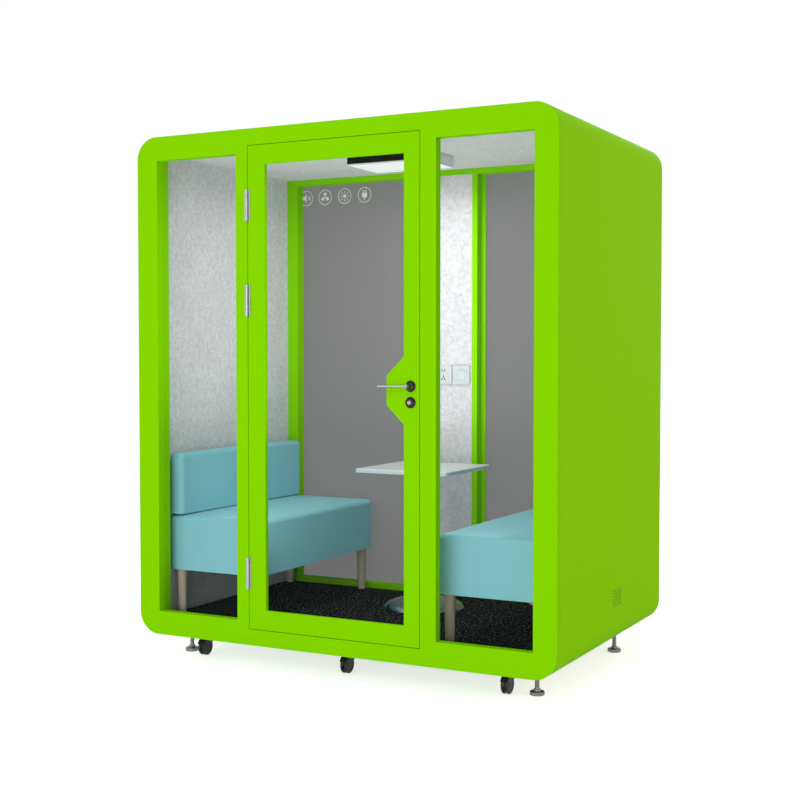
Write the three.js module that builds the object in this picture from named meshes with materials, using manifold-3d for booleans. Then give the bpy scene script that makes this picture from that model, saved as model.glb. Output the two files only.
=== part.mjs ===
// Acoustic meeting pod for two people, in millimetres, +Z up, the door facing -Y.
// X is measured from the pod's middle, Y from its front face into its depth, Z from the ground.
// The finished group is shifted along Y, so that its bounding box is centred on the origin.

import * as THREE from 'three';
import { mergeVertices } from 'three/addons/utils/BufferGeometryUtils.js';
import Module from 'manifold-3d';

const wasm = await Module();
wasm.setup();

// Overall body
const body_width = 1982;
const body_depth = 1335;
const body_height = 2196;
const ground_gap = 104;
const corner_radius = 98;
const corner_steps = 8;

// Fits
const fit = 0.3;
const running_fit = 0.4;
const overrun = 5;

// Skins and linings
const shell_thickness = 48;
const shell_return = 8;
const inner_corner_radius = 5;
const floor_thickness = 58;
const felt_thickness = 12;
const carpet_thickness = 6;
const frame_thickness = 40;

// Front frame, from its left edge to its right
const left_stile = 106;
const hinge_mullion = 59;
const door_opening_width = 819;
const door_opening_offset = 1.5;
const lock_mullion = 70;
const right_stile = 97;
const window_sill = 104;
const window_head = 104;
const door_sill = 69;
const door_head = 70;
const jamb_depth = 82;
const stop_width = 19;
const stop_gap = 1;
const stop_flange_thickness = 6;
const stop_flange_lap = 4;
const window_pane_thickness = 8;
const window_pane_lap = 12;

// Door
const door_gap = 2.5;
const leaf_thickness = 35;
const leaf_hinge_stile = 85;
const leaf_lock_stile = 70;
const leaf_bottom_rail = 83;
const leaf_top_rail = 81;
const lock_step_width = 12;
const lock_step_lip = 8;
const pane_reveal = 18;
const pane_thickness = 8;
const pane_rebate = 10;
const lock_plate_width = 78;
const lock_plate_drop = 153.5;
const lock_plate_slope = 77;
const lock_plate_straight = 118;

// Hinges
const hinge_height = 133;
const hinge_leaf_width = 14;
const hinge_leaf_thickness = 2.5;
const hinge_barrel_radius = 6;
const hinge_pin_radius = 2.5;
const hinge_axis_front = 7;
const hinge_knuckles = 5;
const hinge_heights = { top: 1873, middle: 1471, bottom: 311 };

// Lock and levers
const lock_inset = 39.5;
const lever_height = 1117;
const lock_spacing = 65;
const case_width = 69;
const case_thickness = 16;
const case_margin_top = 50;
const case_margin_bottom = 50;
const bolt_offset = 28;
const latch_height = 18;
const latch_thickness = 11;
const latch_throw = 10;
const latch_length = 48;
const dead_bolt_height = 22;
const dead_bolt_thickness = 10;
const dead_bolt_length = 50;
const dead_bolt_travel = 26;
const keeper_depth = 14;
const keeper_clearance = 1.5;
const strike_height = 96;
const outer_rose_radius = 23;
const outer_rose_height = 12;
const inner_rose_radius = 20.5;
const inner_rose_height = 8;
const rose_neck_radius = 9;
const spindle_radius = 5.5;
const lever_reach = 125;
const lever_bar_height = 10;
const lever_bar_depth = 12;
const lever_bar_round = 4;
const lever_neck_radius = 8;
const lever_neck_length = 27;
const thumb_length = 34;
const thumb_width = 9;
const thumb_depth = 15;
const thumb_disc_radius = 12;
const thumb_disc_height = 4;
const cylinder_cap_radius = 8;
const cylinder_cap_height = 2;

// Back wall
const back_wall_depth = 198;
const back_frame_thickness = 66;
const bay_recess = 59;
const bay_outer_stile = 57;
const bay_rail_bottom = 25;
const bay_rail_top = 27;
const pillar_width = 288;
const pillar_edge = 28;
const pillar_flange = 22;
const flange_thickness = 8;
const back_felt_thickness = 12;
const rear_recess = 4;
const panel_groove_width = 6;
const panel_groove_depth = 4;

// Lamp and exhaust unit under the ceiling
const lamp_width = 394;
const lamp_depth = 281;
const lamp_height = 50;
const lamp_from_front = 479;
const lamp_wall = 8;
const lamp_rim = 4;
const lamp_top = 4;
const diffuser_thickness = 5;
const intake_slots = 10;
const intake_slot_width = 24;
const intake_slot_height = 8;
const duct_radius = 88;
const guard_thickness = 5;
const guard_spokes = 6;
const guard_spoke_width = 7;
const guard_ring_radius = 59;
const guard_ring_width = 6;
const fan_centre_radius = 30;
const fan_radius = 82;
const fan_hub_radius = 26;
const fan_hub_height = 26;
const fan_pin_radius = 5;
const fan_blades = 7;
const fan_blade_thickness = 3;
const fan_blade_chord = 24;
const fan_blade_pitch = 35;

// Socket and switch on the back wall
const plate_size = 88;
const plate_pitch = 95.5;
const plate_thickness = 9;
const plate_round = 5;
const plates_offset = 16.5;
const plate_height = 1145;
const socket_slot_depth = 5;
const socket_slot_width = 3;
const socket_slot_length = 9;
const socket_slot_spacing = 15;
const socket_row_spacing = 38;
const button_radius = 28;
const button_thickness = 6;
const button_proud = 1;
const button_rim = 4;
const button_rim_height = 1;
const button_well_depth = 7.6;

// Side air grille
const grille_columns = 4;
const grille_rows = 6;
const grille_from_front = 665;
const grille_from_bottom = 177;
const grille_column_pitch = 28.1;
const grille_row_pitch = 12.4;
const grille_slot_length = 14;
const grille_slot_height = 5.4;
const grille_skin = 3;
const grille_margin = 8;

// Benches
const bench_wall_gap = 6;
const bench_from_front = 120;
const bench_back_gap = 7;
const bench_width = 500;
const seat_underside = 209;
const seat_thickness = 250;
const back_thickness = 79;
const back_height = 279;
const cushion_round = 24;
const cushion_crown = 5;
const cushion_waist = 4;
const bench_board_thickness = 15;
const bench_board_inset = 12;
const leg_top_radius = 25;
const leg_bottom_radius = 18.5;
const leg_side_inset = 38;
const leg_end_inset = 50;

// Table
const table_width = 465;
const table_depth = 488;
const table_thickness = 18;
const table_height = 658;
const table_round = 14;
const table_edge_round = 2;
const table_offset = 25;
const table_from_back = 331;
const table_base_radius = 187;
const table_base_edge = 4;
const table_dome_rise = 46;
const table_dome_rings = 7;
const table_column_fillet = 10;
const table_column_radius = 30;
const table_flange_radius = 110;
const table_flange_thickness = 7;

// Casters
const caster_side_inset = 258;
const caster_front_inset = 149;
const caster_rear_inset = 181;
const caster_lift = 2;
const caster_wheel_radius = 37;
const caster_wheel_width = 11;
const caster_wheel_round = 4;
const caster_web = 8;
const caster_axle_radius = 4;
const caster_trail = 16;
const caster_fender_gap = 2;
const caster_fender_thickness = 3;
const caster_fender_half_angle = 66;
const caster_head_radius = 17;
const caster_plate_size = 64;
const caster_plate_thickness = 5;
const caster_pin_radius = 6;
const caster_pin_length = 10;

// Levelling feet
const front_foot_inset = 150;
const rear_foot_inset = 122;
const front_foot_from_front = 180;
const rear_foot_from_back = 287;
const foot_pad_radius = 30;
const foot_pad_height = 16;
const foot_collar_radius = 14;
const foot_collar_height = 14;
const foot_stud_radius = 9;
const foot_stud_engagement = 34;

// Places worked out from the sizes above
const half_width = body_width / 2;
const cabin_depth = body_depth - back_wall_depth;
const floor_bottom = ground_gap;
const body_top = ground_gap + body_height;
const roof_underside = body_top - shell_thickness;
const deck_top = floor_bottom + floor_thickness;
const shell_inner = half_width - shell_thickness;
const cabin_half_width = shell_inner - felt_thickness;
const carpet_top = deck_top + carpet_thickness;
const ceiling = roof_underside - felt_thickness;
const shell_seam = half_width - corner_radius - shell_return;
const front_projection = outer_rose_height + lever_neck_length + lever_bar_depth;

const door_start = door_opening_offset - door_opening_width / 2;
const door_end = door_start + door_opening_width;
const left_window_start = -half_width + left_stile;
const left_window_end = door_start - hinge_mullion;
const right_window_start = door_end + lock_mullion;
const right_window_end = half_width - right_stile;
const window_bottom = floor_bottom + window_sill;
const window_top = body_top - window_head;
const door_bottom = floor_bottom + door_sill;
const door_top = body_top - door_head;

const leaf_start = door_start + door_gap;
const leaf_end = door_end - door_gap;
const leaf_bottom = door_bottom + door_gap;
const leaf_top = door_top - door_gap;
const leaf_lock_face = leaf_end - lock_step_width;
const lever_x = leaf_end - lock_inset;
const lever_z = floor_bottom + lever_height;
const lock_z = lever_z - lock_spacing;
const latch_z = lever_z + bolt_offset;
const dead_bolt_z = lock_z - bolt_offset;
const strike_bottom = dead_bolt_z - strike_height / 2;
const strike_top = dead_bolt_z + strike_height / 2;
const case_start = leaf_lock_face - case_width;
const case_front = (leaf_thickness - case_thickness) / 2;
const case_back = case_front + case_thickness;
const case_bottom = lock_z - case_margin_bottom;
const case_top = lever_z + case_margin_top;
const hinge_x = door_start + door_gap / 2;

const back_frame_back = cabin_depth + back_frame_thickness;
const back_pane_front = cabin_depth + bay_recess;
const bay_bottom = carpet_top + bay_rail_bottom;
const bay_top = ceiling - bay_rail_top;
const bay_outer = cabin_half_width - bay_outer_stile;
const bay_inner = pillar_width / 2;

const lamp_underside = ceiling - lamp_height;
const fan_y = lamp_from_front + lamp_depth / 2;

const bench_outer = cabin_half_width - bench_wall_gap;
const bench_inner = bench_outer - bench_width;
const bench_end = cabin_depth - bench_back_gap;
const table_y = cabin_depth - table_from_back;
const seat_bottom = carpet_top + seat_underside;
const seat_top = seat_bottom + seat_thickness;

// Solids from three.js geometry, and back

function solidFrom(geometry) {
  const bare = geometry.index ? geometry.clone() : geometry;
  bare.deleteAttribute('normal');
  bare.deleteAttribute('uv');
  const merged = mergeVertices(bare, 1e-4);
  const found = merged.index.array;
  const kept = [];
  for (let i = 0; i < found.length; i += 3) {
    const [a, b, c] = [found[i], found[i + 1], found[i + 2]];
    if (a !== b && b !== c && c !== a) kept.push(a, b, c);
  }
  return new wasm.Manifold(new wasm.Mesh({
    numProp: 3,
    vertProperties: new Float32Array(merged.attributes.position.array),
    triVerts: new Uint32Array(kept),
  }));
}

function geometryFrom(solid) {
  const mesh = solid.getMesh();
  const points = new Float32Array(mesh.numVert * 3);
  for (let i = 0; i < mesh.numVert; i += 1) {
    for (let axis = 0; axis < 3; axis += 1) {
      points[3 * i + axis] = mesh.vertProperties[mesh.numProp * i + axis];
    }
  }
  const geometry = new THREE.BufferGeometry();
  geometry.setAttribute('position', new THREE.BufferAttribute(points, 3));
  geometry.setIndex(new THREE.BufferAttribute(new Uint32Array(mesh.triVerts), 1));
  geometry.computeVertexNormals();
  return geometry;
}

function joined(first, ...others) {
  return others.reduce((sum, next) => sum.add(next), first);
}

function cutBy(solid, ...cutters) {
  return cutters.reduce((rest, cutter) => rest.subtract(cutter), solid);
}

// Primitive solids, each given by where it starts and ends

function box(x0, x1, y0, y1, z0, z1) {
  const block = new THREE.BoxGeometry(x1 - x0, y1 - y0, z1 - z0);
  block.translate((x0 + x1) / 2, (y0 + y1) / 2, (z0 + z1) / 2);
  return solidFrom(block);
}

function extruded(shape, length, curveSegments = 6, more = {}) {
  return new THREE.ExtrudeGeometry(shape, {
    depth: length, bevelEnabled: false, curveSegments, ...more,
  });
}

// A shape drawn in X and Z, extruded along Y
function alongY(shape, y0, y1, curveSegments) {
  const block = extruded(shape, y1 - y0, curveSegments);
  block.rotateX(Math.PI / 2);
  block.translate(0, y1, 0);
  return solidFrom(block);
}

// A shape drawn in X and Y, extruded along Z
function alongZ(shape, z0, z1, curveSegments) {
  const block = extruded(shape, z1 - z0, curveSegments);
  block.translate(0, 0, z0);
  return solidFrom(block);
}

// A shape drawn in Y and Z, extruded along X
function alongX(shape, x0, x1, curveSegments) {
  const block = extruded(shape, x1 - x0, curveSegments);
  block.applyMatrix4(new THREE.Matrix4().makeBasis(
    new THREE.Vector3(0, 1, 0), new THREE.Vector3(0, 0, 1), new THREE.Vector3(1, 0, 0)));
  block.translate(x0, 0, 0);
  return solidFrom(block);
}

function roundedRectangle(a0, a1, b0, b1, radius) {
  const shape = new THREE.Shape();
  shape.moveTo(a0 + radius, b0);
  shape.lineTo(a1 - radius, b0);
  shape.absarc(a1 - radius, b0 + radius, radius, -Math.PI / 2, 0);
  shape.lineTo(a1, b1 - radius);
  shape.absarc(a1 - radius, b1 - radius, radius, 0, Math.PI / 2);
  shape.lineTo(a0 + radius, b1);
  shape.absarc(a0 + radius, b1 - radius, radius, Math.PI / 2, Math.PI);
  shape.lineTo(a0, b0 + radius);
  shape.absarc(a0 + radius, b0 + radius, radius, Math.PI, 1.5 * Math.PI);
  return shape;
}

function polygon(points) {
  return new THREE.Shape(points.map(([a, b]) => new THREE.Vector2(a, b)));
}

// A round bar along Z, or along another axis by turning it
function barZ(x, y, z0, z1, radius, sides = 16) {
  const bar = new THREE.CylinderGeometry(radius, radius, z1 - z0, sides);
  bar.rotateX(Math.PI / 2);
  bar.translate(x, y, (z0 + z1) / 2);
  return solidFrom(bar);
}

function barY(x, z, y0, y1, radius, sides = 16) {
  const bar = new THREE.CylinderGeometry(radius, radius, y1 - y0, sides);
  bar.translate(x, (y0 + y1) / 2, z);
  return solidFrom(bar);
}

function barX(y, z, x0, x1, radius, sides = 16) {
  const bar = new THREE.CylinderGeometry(radius, radius, x1 - x0, sides);
  bar.rotateZ(Math.PI / 2);
  bar.translate((x0 + x1) / 2, y, z);
  return solidFrom(bar);
}

// A profile of radius and height, turned about the Z axis through x, y
function turned(profile, x, y, z, sides = 36) {
  const lathe = new THREE.LatheGeometry(profile.map(([r, h]) => new THREE.Vector2(r, h)), sides);
  lathe.rotateX(Math.PI / 2);
  lathe.translate(x, y, z);
  return solidFrom(lathe);
}

// Nodes of the model

const pod = new THREE.Group();
const finishes = {
  green: { color: 0x86d800, roughness: 0.45, metalness: 0 },
  felt: { color: 0xc3c8ca, roughness: 1, metalness: 0 },
  carpet: { color: 0x0c0c10, roughness: 1, metalness: 0 },
  clearGlass: { color: 0xf2f7f7, roughness: 0.05, metalness: 0, transparent: true, opacity: 0.12 },
  greyPane: { color: 0x828282, roughness: 0.35, metalness: 0 },
  steel: { color: 0xb9bcbe, roughness: 0.35, metalness: 0.9 },
  black: { color: 0x141414, roughness: 0.3, metalness: 0 },
  white: { color: 0xeceef0, roughness: 0.4, metalness: 0 },
  fabric: { color: 0x80bccb, roughness: 0.9, metalness: 0 },
  wood: { color: 0xa59887, roughness: 0.7, metalness: 0 },
  grey: { color: 0x6e6e6e, roughness: 0.45, metalness: 0.8 },
};

function addNode(name, solid, finish) {
  const mesh = new THREE.Mesh(geometryFrom(solid), new THREE.MeshStandardMaterial(finishes[finish]));
  mesh.name = name;
  pod.add(mesh);
}

// Outer shells: a side panel that turns round the corner into the roof and the floor

function sideShell(side) {
  const outer = roundedRectangle(-half_width, half_width, floor_bottom, body_top, corner_radius);
  outer.holes.push(roundedRectangle(
    -shell_inner, shell_inner, deck_top, roof_underside, inner_corner_radius));
  const ring = alongY(outer, frame_thickness + fit, body_depth, corner_steps);
  const reach = half_width + overrun;
  const middle = side > 0
    ? box(-reach, shell_seam, -overrun, body_depth + overrun, floor_bottom - overrun, body_top + overrun)
    : box(-shell_seam, reach, -overrun, body_depth + overrun, floor_bottom - overrun, body_top + overrun);
  return cutBy(ring, middle);
}

const grille_length = (grille_columns - 1) * grille_column_pitch + grille_slot_length;
const grille_height = (grille_rows - 1) * grille_row_pitch + grille_slot_height;
const grille_bottom = floor_bottom + grille_from_bottom;

function grilleSlot(column, row) {
  const y = grille_from_front + column * grille_column_pitch;
  const z = grille_bottom + row * grille_row_pitch;
  const radius = grille_slot_height / 2;
  const slot = new THREE.Shape();
  slot.moveTo(y + radius, z);
  slot.lineTo(y + grille_slot_length - radius, z);
  slot.absarc(y + grille_slot_length - radius, z + radius, radius, -Math.PI / 2, Math.PI / 2);
  slot.lineTo(y + radius, z + grille_slot_height);
  slot.absarc(y + radius, z + radius, radius, Math.PI / 2, 1.5 * Math.PI);
  return alongX(slot, shell_inner - overrun, half_width + overrun, 2);
}

function airDuct(from, to) {
  return box(from, to,
    grille_from_front - grille_margin, grille_from_front + grille_length + grille_margin,
    grille_bottom - grille_margin, grille_bottom + grille_height + grille_margin);
}

function rightShellWithGrille() {
  const slots = [];
  for (let column = 0; column < grille_columns; column += 1) {
    for (let row = 0; row < grille_rows; row += 1) slots.push(grilleSlot(column, row));
  }
  return cutBy(sideShell(1), airDuct(shell_inner - overrun, half_width - grille_skin), ...slots);
}

addNode('left_side_shell', sideShell(-1), 'green');
addNode('right_side_shell', rightShellWithGrille(), 'green');

// Roof panel with the exhaust duct, its guard and the pin that the fan turns on

function guardOpening(inner, outer, spoke) {
  const step = (2 * Math.PI) / guard_spokes;
  const shape = new THREE.Shape();
  const innerTrim = Math.asin(guard_spoke_width / 2 / inner);
  const outerTrim = Math.asin(guard_spoke_width / 2 / outer);
  const start = spoke * step;
  shape.absarc(0, 0, outer, start + outerTrim, start + step - outerTrim, false);
  shape.absarc(0, 0, inner, start + step - innerTrim, start + innerTrim, true);
  const opening = extruded(shape, guard_thickness + 2 * overrun, 3);
  opening.translate(0, fan_y, body_top - guard_thickness - overrun);
  return solidFrom(opening);
}

function roofPanel() {
  const guard_underside = body_top - guard_thickness;
  const slab = box(-shell_seam + fit, shell_seam - fit, frame_thickness + fit, body_depth,
    roof_underside, body_top);
  const duct = barZ(0, fan_y, roof_underside - overrun, guard_underside, duct_radius, 32);
  const openings = [];
  for (let spoke = 0; spoke < guard_spokes; spoke += 1) {
    openings.push(guardOpening(fan_centre_radius, guard_ring_radius - guard_ring_width / 2, spoke));
    openings.push(guardOpening(guard_ring_radius + guard_ring_width / 2, duct_radius, spoke));
  }
  const pin = barZ(0, fan_y, guard_underside - fan_hub_height - running_fit, body_top - fit, fan_pin_radius);
  return joined(cutBy(slab, duct, ...openings), pin);
}

function fanRotor() {
  const top = body_top - guard_thickness - running_fit;
  const bottom = top - fan_hub_height;
  const blades = [];
  const span = fan_radius - fan_hub_radius / 2;
  for (let i = 0; i < fan_blades; i += 1) {
    const blade = new THREE.BoxGeometry(span, fan_blade_chord, fan_blade_thickness);
    blade.rotateX(THREE.MathUtils.degToRad(fan_blade_pitch));
    blade.translate(fan_radius - span / 2, 0, 0);
    blade.rotateZ((2 * Math.PI * i) / fan_blades);
    blade.translate(0, fan_y, (top + bottom) / 2);
    blades.push(solidFrom(blade));
  }
  const hub = barZ(0, fan_y, bottom, top, fan_hub_radius, 24);
  const bore = barZ(0, fan_y, bottom - overrun, top + overrun, fan_pin_radius + running_fit);
  return cutBy(joined(hub, ...blades), bore);
}

addNode('roof_panel', roofPanel(), 'green');
addNode('fan_rotor', fanRotor(), 'black');

// Base with caster plates, swivel pins and threaded holes for the feet

const caster_places = [];
for (const [row, y] of [['front', caster_front_inset], ['rear', body_depth - caster_rear_inset]]) {
  caster_places.push([`${row}_left`, -half_width + caster_side_inset, y]);
  caster_places.push([`${row}_middle`, 0, y]);
  caster_places.push([`${row}_right`, half_width - caster_side_inset, y]);
}
const front_foot_x = half_width - front_foot_inset;
const rear_foot_x = half_width - rear_foot_inset;
const rear_foot_y = body_depth - rear_foot_from_back;
const foot_places = [
  ['front_left', -front_foot_x, front_foot_from_front],
  ['front_right', front_foot_x, front_foot_from_front],
  ['rear_left', -rear_foot_x, rear_foot_y],
  ['rear_right', rear_foot_x, rear_foot_y],
];
const caster_plate_bottom = floor_bottom - caster_plate_thickness;

function casterMount(x, y) {
  const half = caster_plate_size / 2;
  const plate = alongZ(roundedRectangle(x - half, x + half, y - half, y + half, plate_round),
    caster_plate_bottom, floor_bottom + overrun, 1);
  const pin = barZ(x, y, caster_plate_bottom - caster_pin_length, floor_bottom, caster_pin_radius, 10);
  return joined(plate, pin);
}

function baseFrame() {
  const slab = box(-shell_seam + fit, shell_seam - fit, frame_thickness + fit, body_depth,
    floor_bottom, deck_top);
  const mounts = caster_places.map(([, x, y]) => casterMount(x, y));
  const threads = foot_places.map(([, x, y]) => barZ(x, y, floor_bottom - overrun,
    floor_bottom + foot_stud_engagement + fit, foot_stud_radius + running_fit, 14));
  return cutBy(joined(slab, ...mounts), ...threads);
}

addNode('base_frame', baseFrame(), 'green');

// Front frame: one face with two windows, the door opening and the side jambs

function windowCut(start, end) {
  return box(start, end, -overrun, frame_thickness + overrun, window_bottom, window_top);
}

function sideJamb(side) {
  const start = side < 0 ? -cabin_half_width + fit : right_window_end;
  const end = side < 0 ? left_window_start : cabin_half_width - fit;
  return box(start, end, frame_thickness - overrun, jamb_depth, carpet_top + fit, ceiling - fit);
}

function frontFrame() {
  const face = alongY(
    roundedRectangle(-half_width, half_width, floor_bottom, body_top, corner_radius),
    0, frame_thickness, corner_steps);
  const door_way = box(door_start, door_end, -overrun, frame_thickness + overrun, door_bottom, door_top);
  const strike_way = box(door_end - overrun, right_window_start + overrun, -overrun, frame_thickness + overrun,
    strike_bottom, strike_top);
  const openings = [
    windowCut(left_window_start, left_window_end),
    windowCut(right_window_start, right_window_end),
    door_way, strike_way,
  ];
  return joined(cutBy(face, ...openings), sideJamb(-1), sideJamb(1));
}

// Section of the lock mullion that holds the dead bolt's keeper
function strikeBlock() {
  const block = box(door_end, right_window_start, 0, frame_thickness, strike_bottom + fit, strike_top - fit);
  const half_thickness = dead_bolt_thickness / 2 + keeper_clearance;
  const half_height = dead_bolt_height / 2 + keeper_clearance;
  const keeper = box(door_end - overrun, door_end + keeper_depth,
    leaf_thickness / 2 - half_thickness, leaf_thickness / 2 + half_thickness,
    dead_bolt_z - half_height, dead_bolt_z + half_height);
  return cutBy(block, keeper);
}

// Ring that the leaf closes against, with a flange behind the frame
function doorStop() {
  const front = leaf_thickness + stop_gap;
  const back = frame_thickness + stop_flange_thickness;
  const lip = box(door_start + fit, door_end - fit, front, back, door_bottom + fit, door_top - fit);
  const flange = box(door_start - stop_flange_lap, door_end + stop_flange_lap, frame_thickness + fit, back,
    door_bottom - stop_flange_lap, door_top + stop_flange_lap);
  const way = box(door_start + stop_width, door_end - stop_width, front - overrun, back + overrun,
    door_bottom + stop_width, door_top - stop_width);
  return cutBy(joined(lip, flange), way);
}

addNode('front_frame', frontFrame(), 'green');
addNode('strike_block', strikeBlock(), 'green');
addNode('door_stop', doorStop(), 'green');

// Window panes behind the frame, held between the side jamb and the mullion

function windowPane(start, end) {
  return box(start, end, frame_thickness + fit, frame_thickness + fit + window_pane_thickness,
    window_bottom - window_pane_lap, window_top + window_pane_lap);
}

addNode('left_window_pane',
  windowPane(left_window_start + fit, left_window_end + window_pane_lap), 'clearGlass');
addNode('right_window_pane',
  windowPane(right_window_start - window_pane_lap, right_window_end - fit), 'clearGlass');

// Door: leaf with its widened lock plate, and a pane of the same outline

function doorOpening(grow) {
  const left = leaf_start + leaf_hinge_stile - grow;
  const right = leaf_end - leaf_lock_stile + grow;
  const low = leaf_bottom + leaf_bottom_rail;
  const notch = lever_z - lock_plate_drop;
  const inner = right - lock_plate_width;
  const shift = grow * Math.tan(Math.atan2(lock_plate_width, lock_plate_slope) / 2);
  const points = [
    [left, low - grow],
    [right, low - grow],
    [right, notch + shift],
    [inner, notch + lock_plate_slope + shift],
    [inner, notch + lock_plate_slope + lock_plate_straight - shift],
    [right, notch + 2 * lock_plate_slope + lock_plate_straight - shift],
    [right, leaf_top - leaf_top_rail + grow],
    [left, leaf_top - leaf_top_rail + grow],
  ];
  return polygon(points);
}

function doorLeaf() {
  const slab = box(leaf_start, leaf_end, 0, leaf_thickness, leaf_bottom, leaf_top);
  const opening = alongY(doorOpening(0), -overrun, leaf_thickness + overrun);
  const rebate = alongY(doorOpening(pane_rebate), pane_reveal, leaf_thickness + overrun);
  const lock_step = box(leaf_lock_face, leaf_end + overrun, lock_step_lip, leaf_thickness + overrun,
    leaf_bottom - overrun, leaf_top + overrun);
  const lock_pocket = box(case_start - fit, leaf_lock_face + overrun, case_front - fit, case_back + fit,
    case_bottom - fit, case_top + fit);
  const lever_hole = barY(lever_x, lever_z, -overrun, leaf_thickness + overrun, rose_neck_radius + fit, 12);
  const lock_hole = barY(lever_x, lock_z, -overrun, leaf_thickness + overrun, rose_neck_radius + fit, 12);
  return cutBy(slab, opening, rebate, lock_step, lock_pocket, lever_hole, lock_hole);
}

function doorPane() {
  return alongY(doorOpening(pane_rebate - fit), pane_reveal + fit, pane_reveal + fit + pane_thickness);
}

addNode('door_leaf', doorLeaf(), 'green');
addNode('door_pane', doorPane(), 'clearGlass');

// Hinges: knuckles in turn on the frame's and the door's leaf, round one pin

const knuckle_height = hinge_height / hinge_knuckles;

function hingeKnuckles(bottom, first, side, bored) {
  const parts = [];
  for (let i = first; i < hinge_knuckles; i += 2) {
    const low = bottom + i * knuckle_height + (i > 0 ? fit / 2 : 0);
    const high = bottom + (i + 1) * knuckle_height - (i < hinge_knuckles - 1 ? fit / 2 : 0);
    const web_from = hinge_x + side * hinge_pin_radius;
    const web_to = hinge_x + side * (hinge_barrel_radius + hinge_pin_radius);
    const web = box(Math.min(web_from, web_to), Math.max(web_from, web_to),
      -fit - hinge_leaf_thickness, -fit, low, high);
    const barrel = barZ(hinge_x, -hinge_axis_front, low, high, hinge_barrel_radius, 12);
    parts.push(joined(barrel, web));
  }
  const bore = barZ(hinge_x, -hinge_axis_front, bottom - overrun, bottom + hinge_height + overrun,
    hinge_pin_radius + running_fit, 8);
  return bored ? parts.map((part) => part.subtract(bore)) : parts;
}

function hingePlate(bottom, side) {
  const near = hinge_x + side * door_gap;
  const far = hinge_x + side * hinge_leaf_width;
  const plate = alongY(roundedRectangle(Math.min(near, far), Math.max(near, far),
    bottom, bottom + hinge_height, hinge_leaf_thickness), -fit - hinge_leaf_thickness, -fit, 1);
  return plate.subtract(barZ(hinge_x, -hinge_axis_front, bottom - overrun,
    bottom + hinge_height + overrun, hinge_barrel_radius + running_fit, 12));
}

for (const [place, height] of Object.entries(hinge_heights)) {
  const bottom = floor_bottom + height - hinge_height / 2;
  const pin = barZ(hinge_x, -hinge_axis_front, bottom + fit, bottom + hinge_height - fit, hinge_pin_radius, 8);
  addNode(`hinge_${place}_frame_leaf`,
    joined(hingePlate(bottom, -1), ...hingeKnuckles(bottom, 0, -1, false), pin), 'steel');
  addNode(`hinge_${place}_door_leaf`,
    joined(hingePlate(bottom, 1), ...hingeKnuckles(bottom, 1, 1, true)), 'steel');
}

// Mortise lock: case with its roses, spring latch and dead bolt

function roseOut(z) {
  const profile = [[0, 0], [outer_rose_radius, 0], [outer_rose_radius, outer_rose_height / 6]];
  const steps = 3;
  for (let i = 1; i < steps; i += 1) {
    const angle = (i / steps) * (Math.PI / 2);
    profile.push([
      outer_rose_radius * Math.cos(angle),
      outer_rose_height * (1 / 6 + (5 / 6) * Math.sin(angle)),
    ]);
  }
  profile.push([0, outer_rose_height]);
  const lathe = new THREE.LatheGeometry(profile.map(([r, h]) => new THREE.Vector2(r, h)), 20);
  lathe.rotateX(Math.PI);
  lathe.translate(lever_x, -fit, z);
  return solidFrom(lathe);
}

function roseSet(z) {
  const neck = barY(lever_x, z, -fit - outer_rose_height / 6, leaf_thickness + fit, rose_neck_radius, 12);
  const rose_in = barY(lever_x, z, leaf_thickness + fit, leaf_thickness + fit + inner_rose_height,
    inner_rose_radius, 20);
  return joined(neck, roseOut(z), rose_in);
}

function lockCase() {
  const body = box(case_start, leaf_lock_face, case_front, case_back, case_bottom, case_top);
  const front = -fit - outer_rose_height - overrun;
  const back = leaf_thickness + fit + inner_rose_height + overrun;
  const lever_bore = barY(lever_x, lever_z, front, back, spindle_radius + running_fit, 12);
  const lock_bore = barY(lever_x, lock_z, front, back, spindle_radius + running_fit, 12);
  const half_latch = latch_thickness / 2 + fit;
  const half_dead = dead_bolt_thickness / 2 + fit;
  const middle = leaf_thickness / 2;
  const latch_way = box(leaf_lock_face + latch_throw - latch_length - latch_throw - fit,
    leaf_lock_face + overrun, middle - half_latch, middle + half_latch,
    latch_z - latch_height / 2 - fit, latch_z + latch_height / 2 + fit);
  const dead_way = box(leaf_lock_face - dead_bolt_length - fit, leaf_lock_face + overrun,
    middle - half_dead, middle + half_dead,
    dead_bolt_z - dead_bolt_height / 2 - fit, dead_bolt_z + dead_bolt_height / 2 + fit);
  return cutBy(joined(body, roseSet(lever_z), roseSet(lock_z)), lever_bore, lock_bore, latch_way, dead_way);
}

function latchBolt() {
  const tail = leaf_lock_face + latch_throw - latch_length;
  const tip = leaf_lock_face + latch_throw;
  const front = (leaf_thickness - latch_thickness) / 2;
  const back = front + latch_thickness;
  const outline = polygon([[tail, front], [tip, front], [tip - latch_throw, back], [tail, back]]);
  return alongZ(outline, latch_z - latch_height / 2, latch_z + latch_height / 2);
}

function deadBolt() {
  const front = (leaf_thickness - dead_bolt_thickness) / 2;
  return box(leaf_lock_face - dead_bolt_length, leaf_lock_face - fit, front, front + dead_bolt_thickness,
    dead_bolt_z - dead_bolt_height / 2, dead_bolt_z + dead_bolt_height / 2);
}

// Two lever handles as one piece with their spindle, and the thumb turn of the dead bolt

const outer_lever_front = -fit - front_projection;
const inner_lever_back = leaf_thickness + fit + inner_rose_height + lever_neck_length + lever_bar_depth;

function leverBar(y0, y1) {
  const low = lever_z - lever_bar_height / 2;
  const section = roundedRectangle(y0, y1, low, low + lever_bar_height, lever_bar_round);
  return alongX(section, lever_x - lever_reach, lever_x + lever_neck_radius, 2);
}

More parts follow.
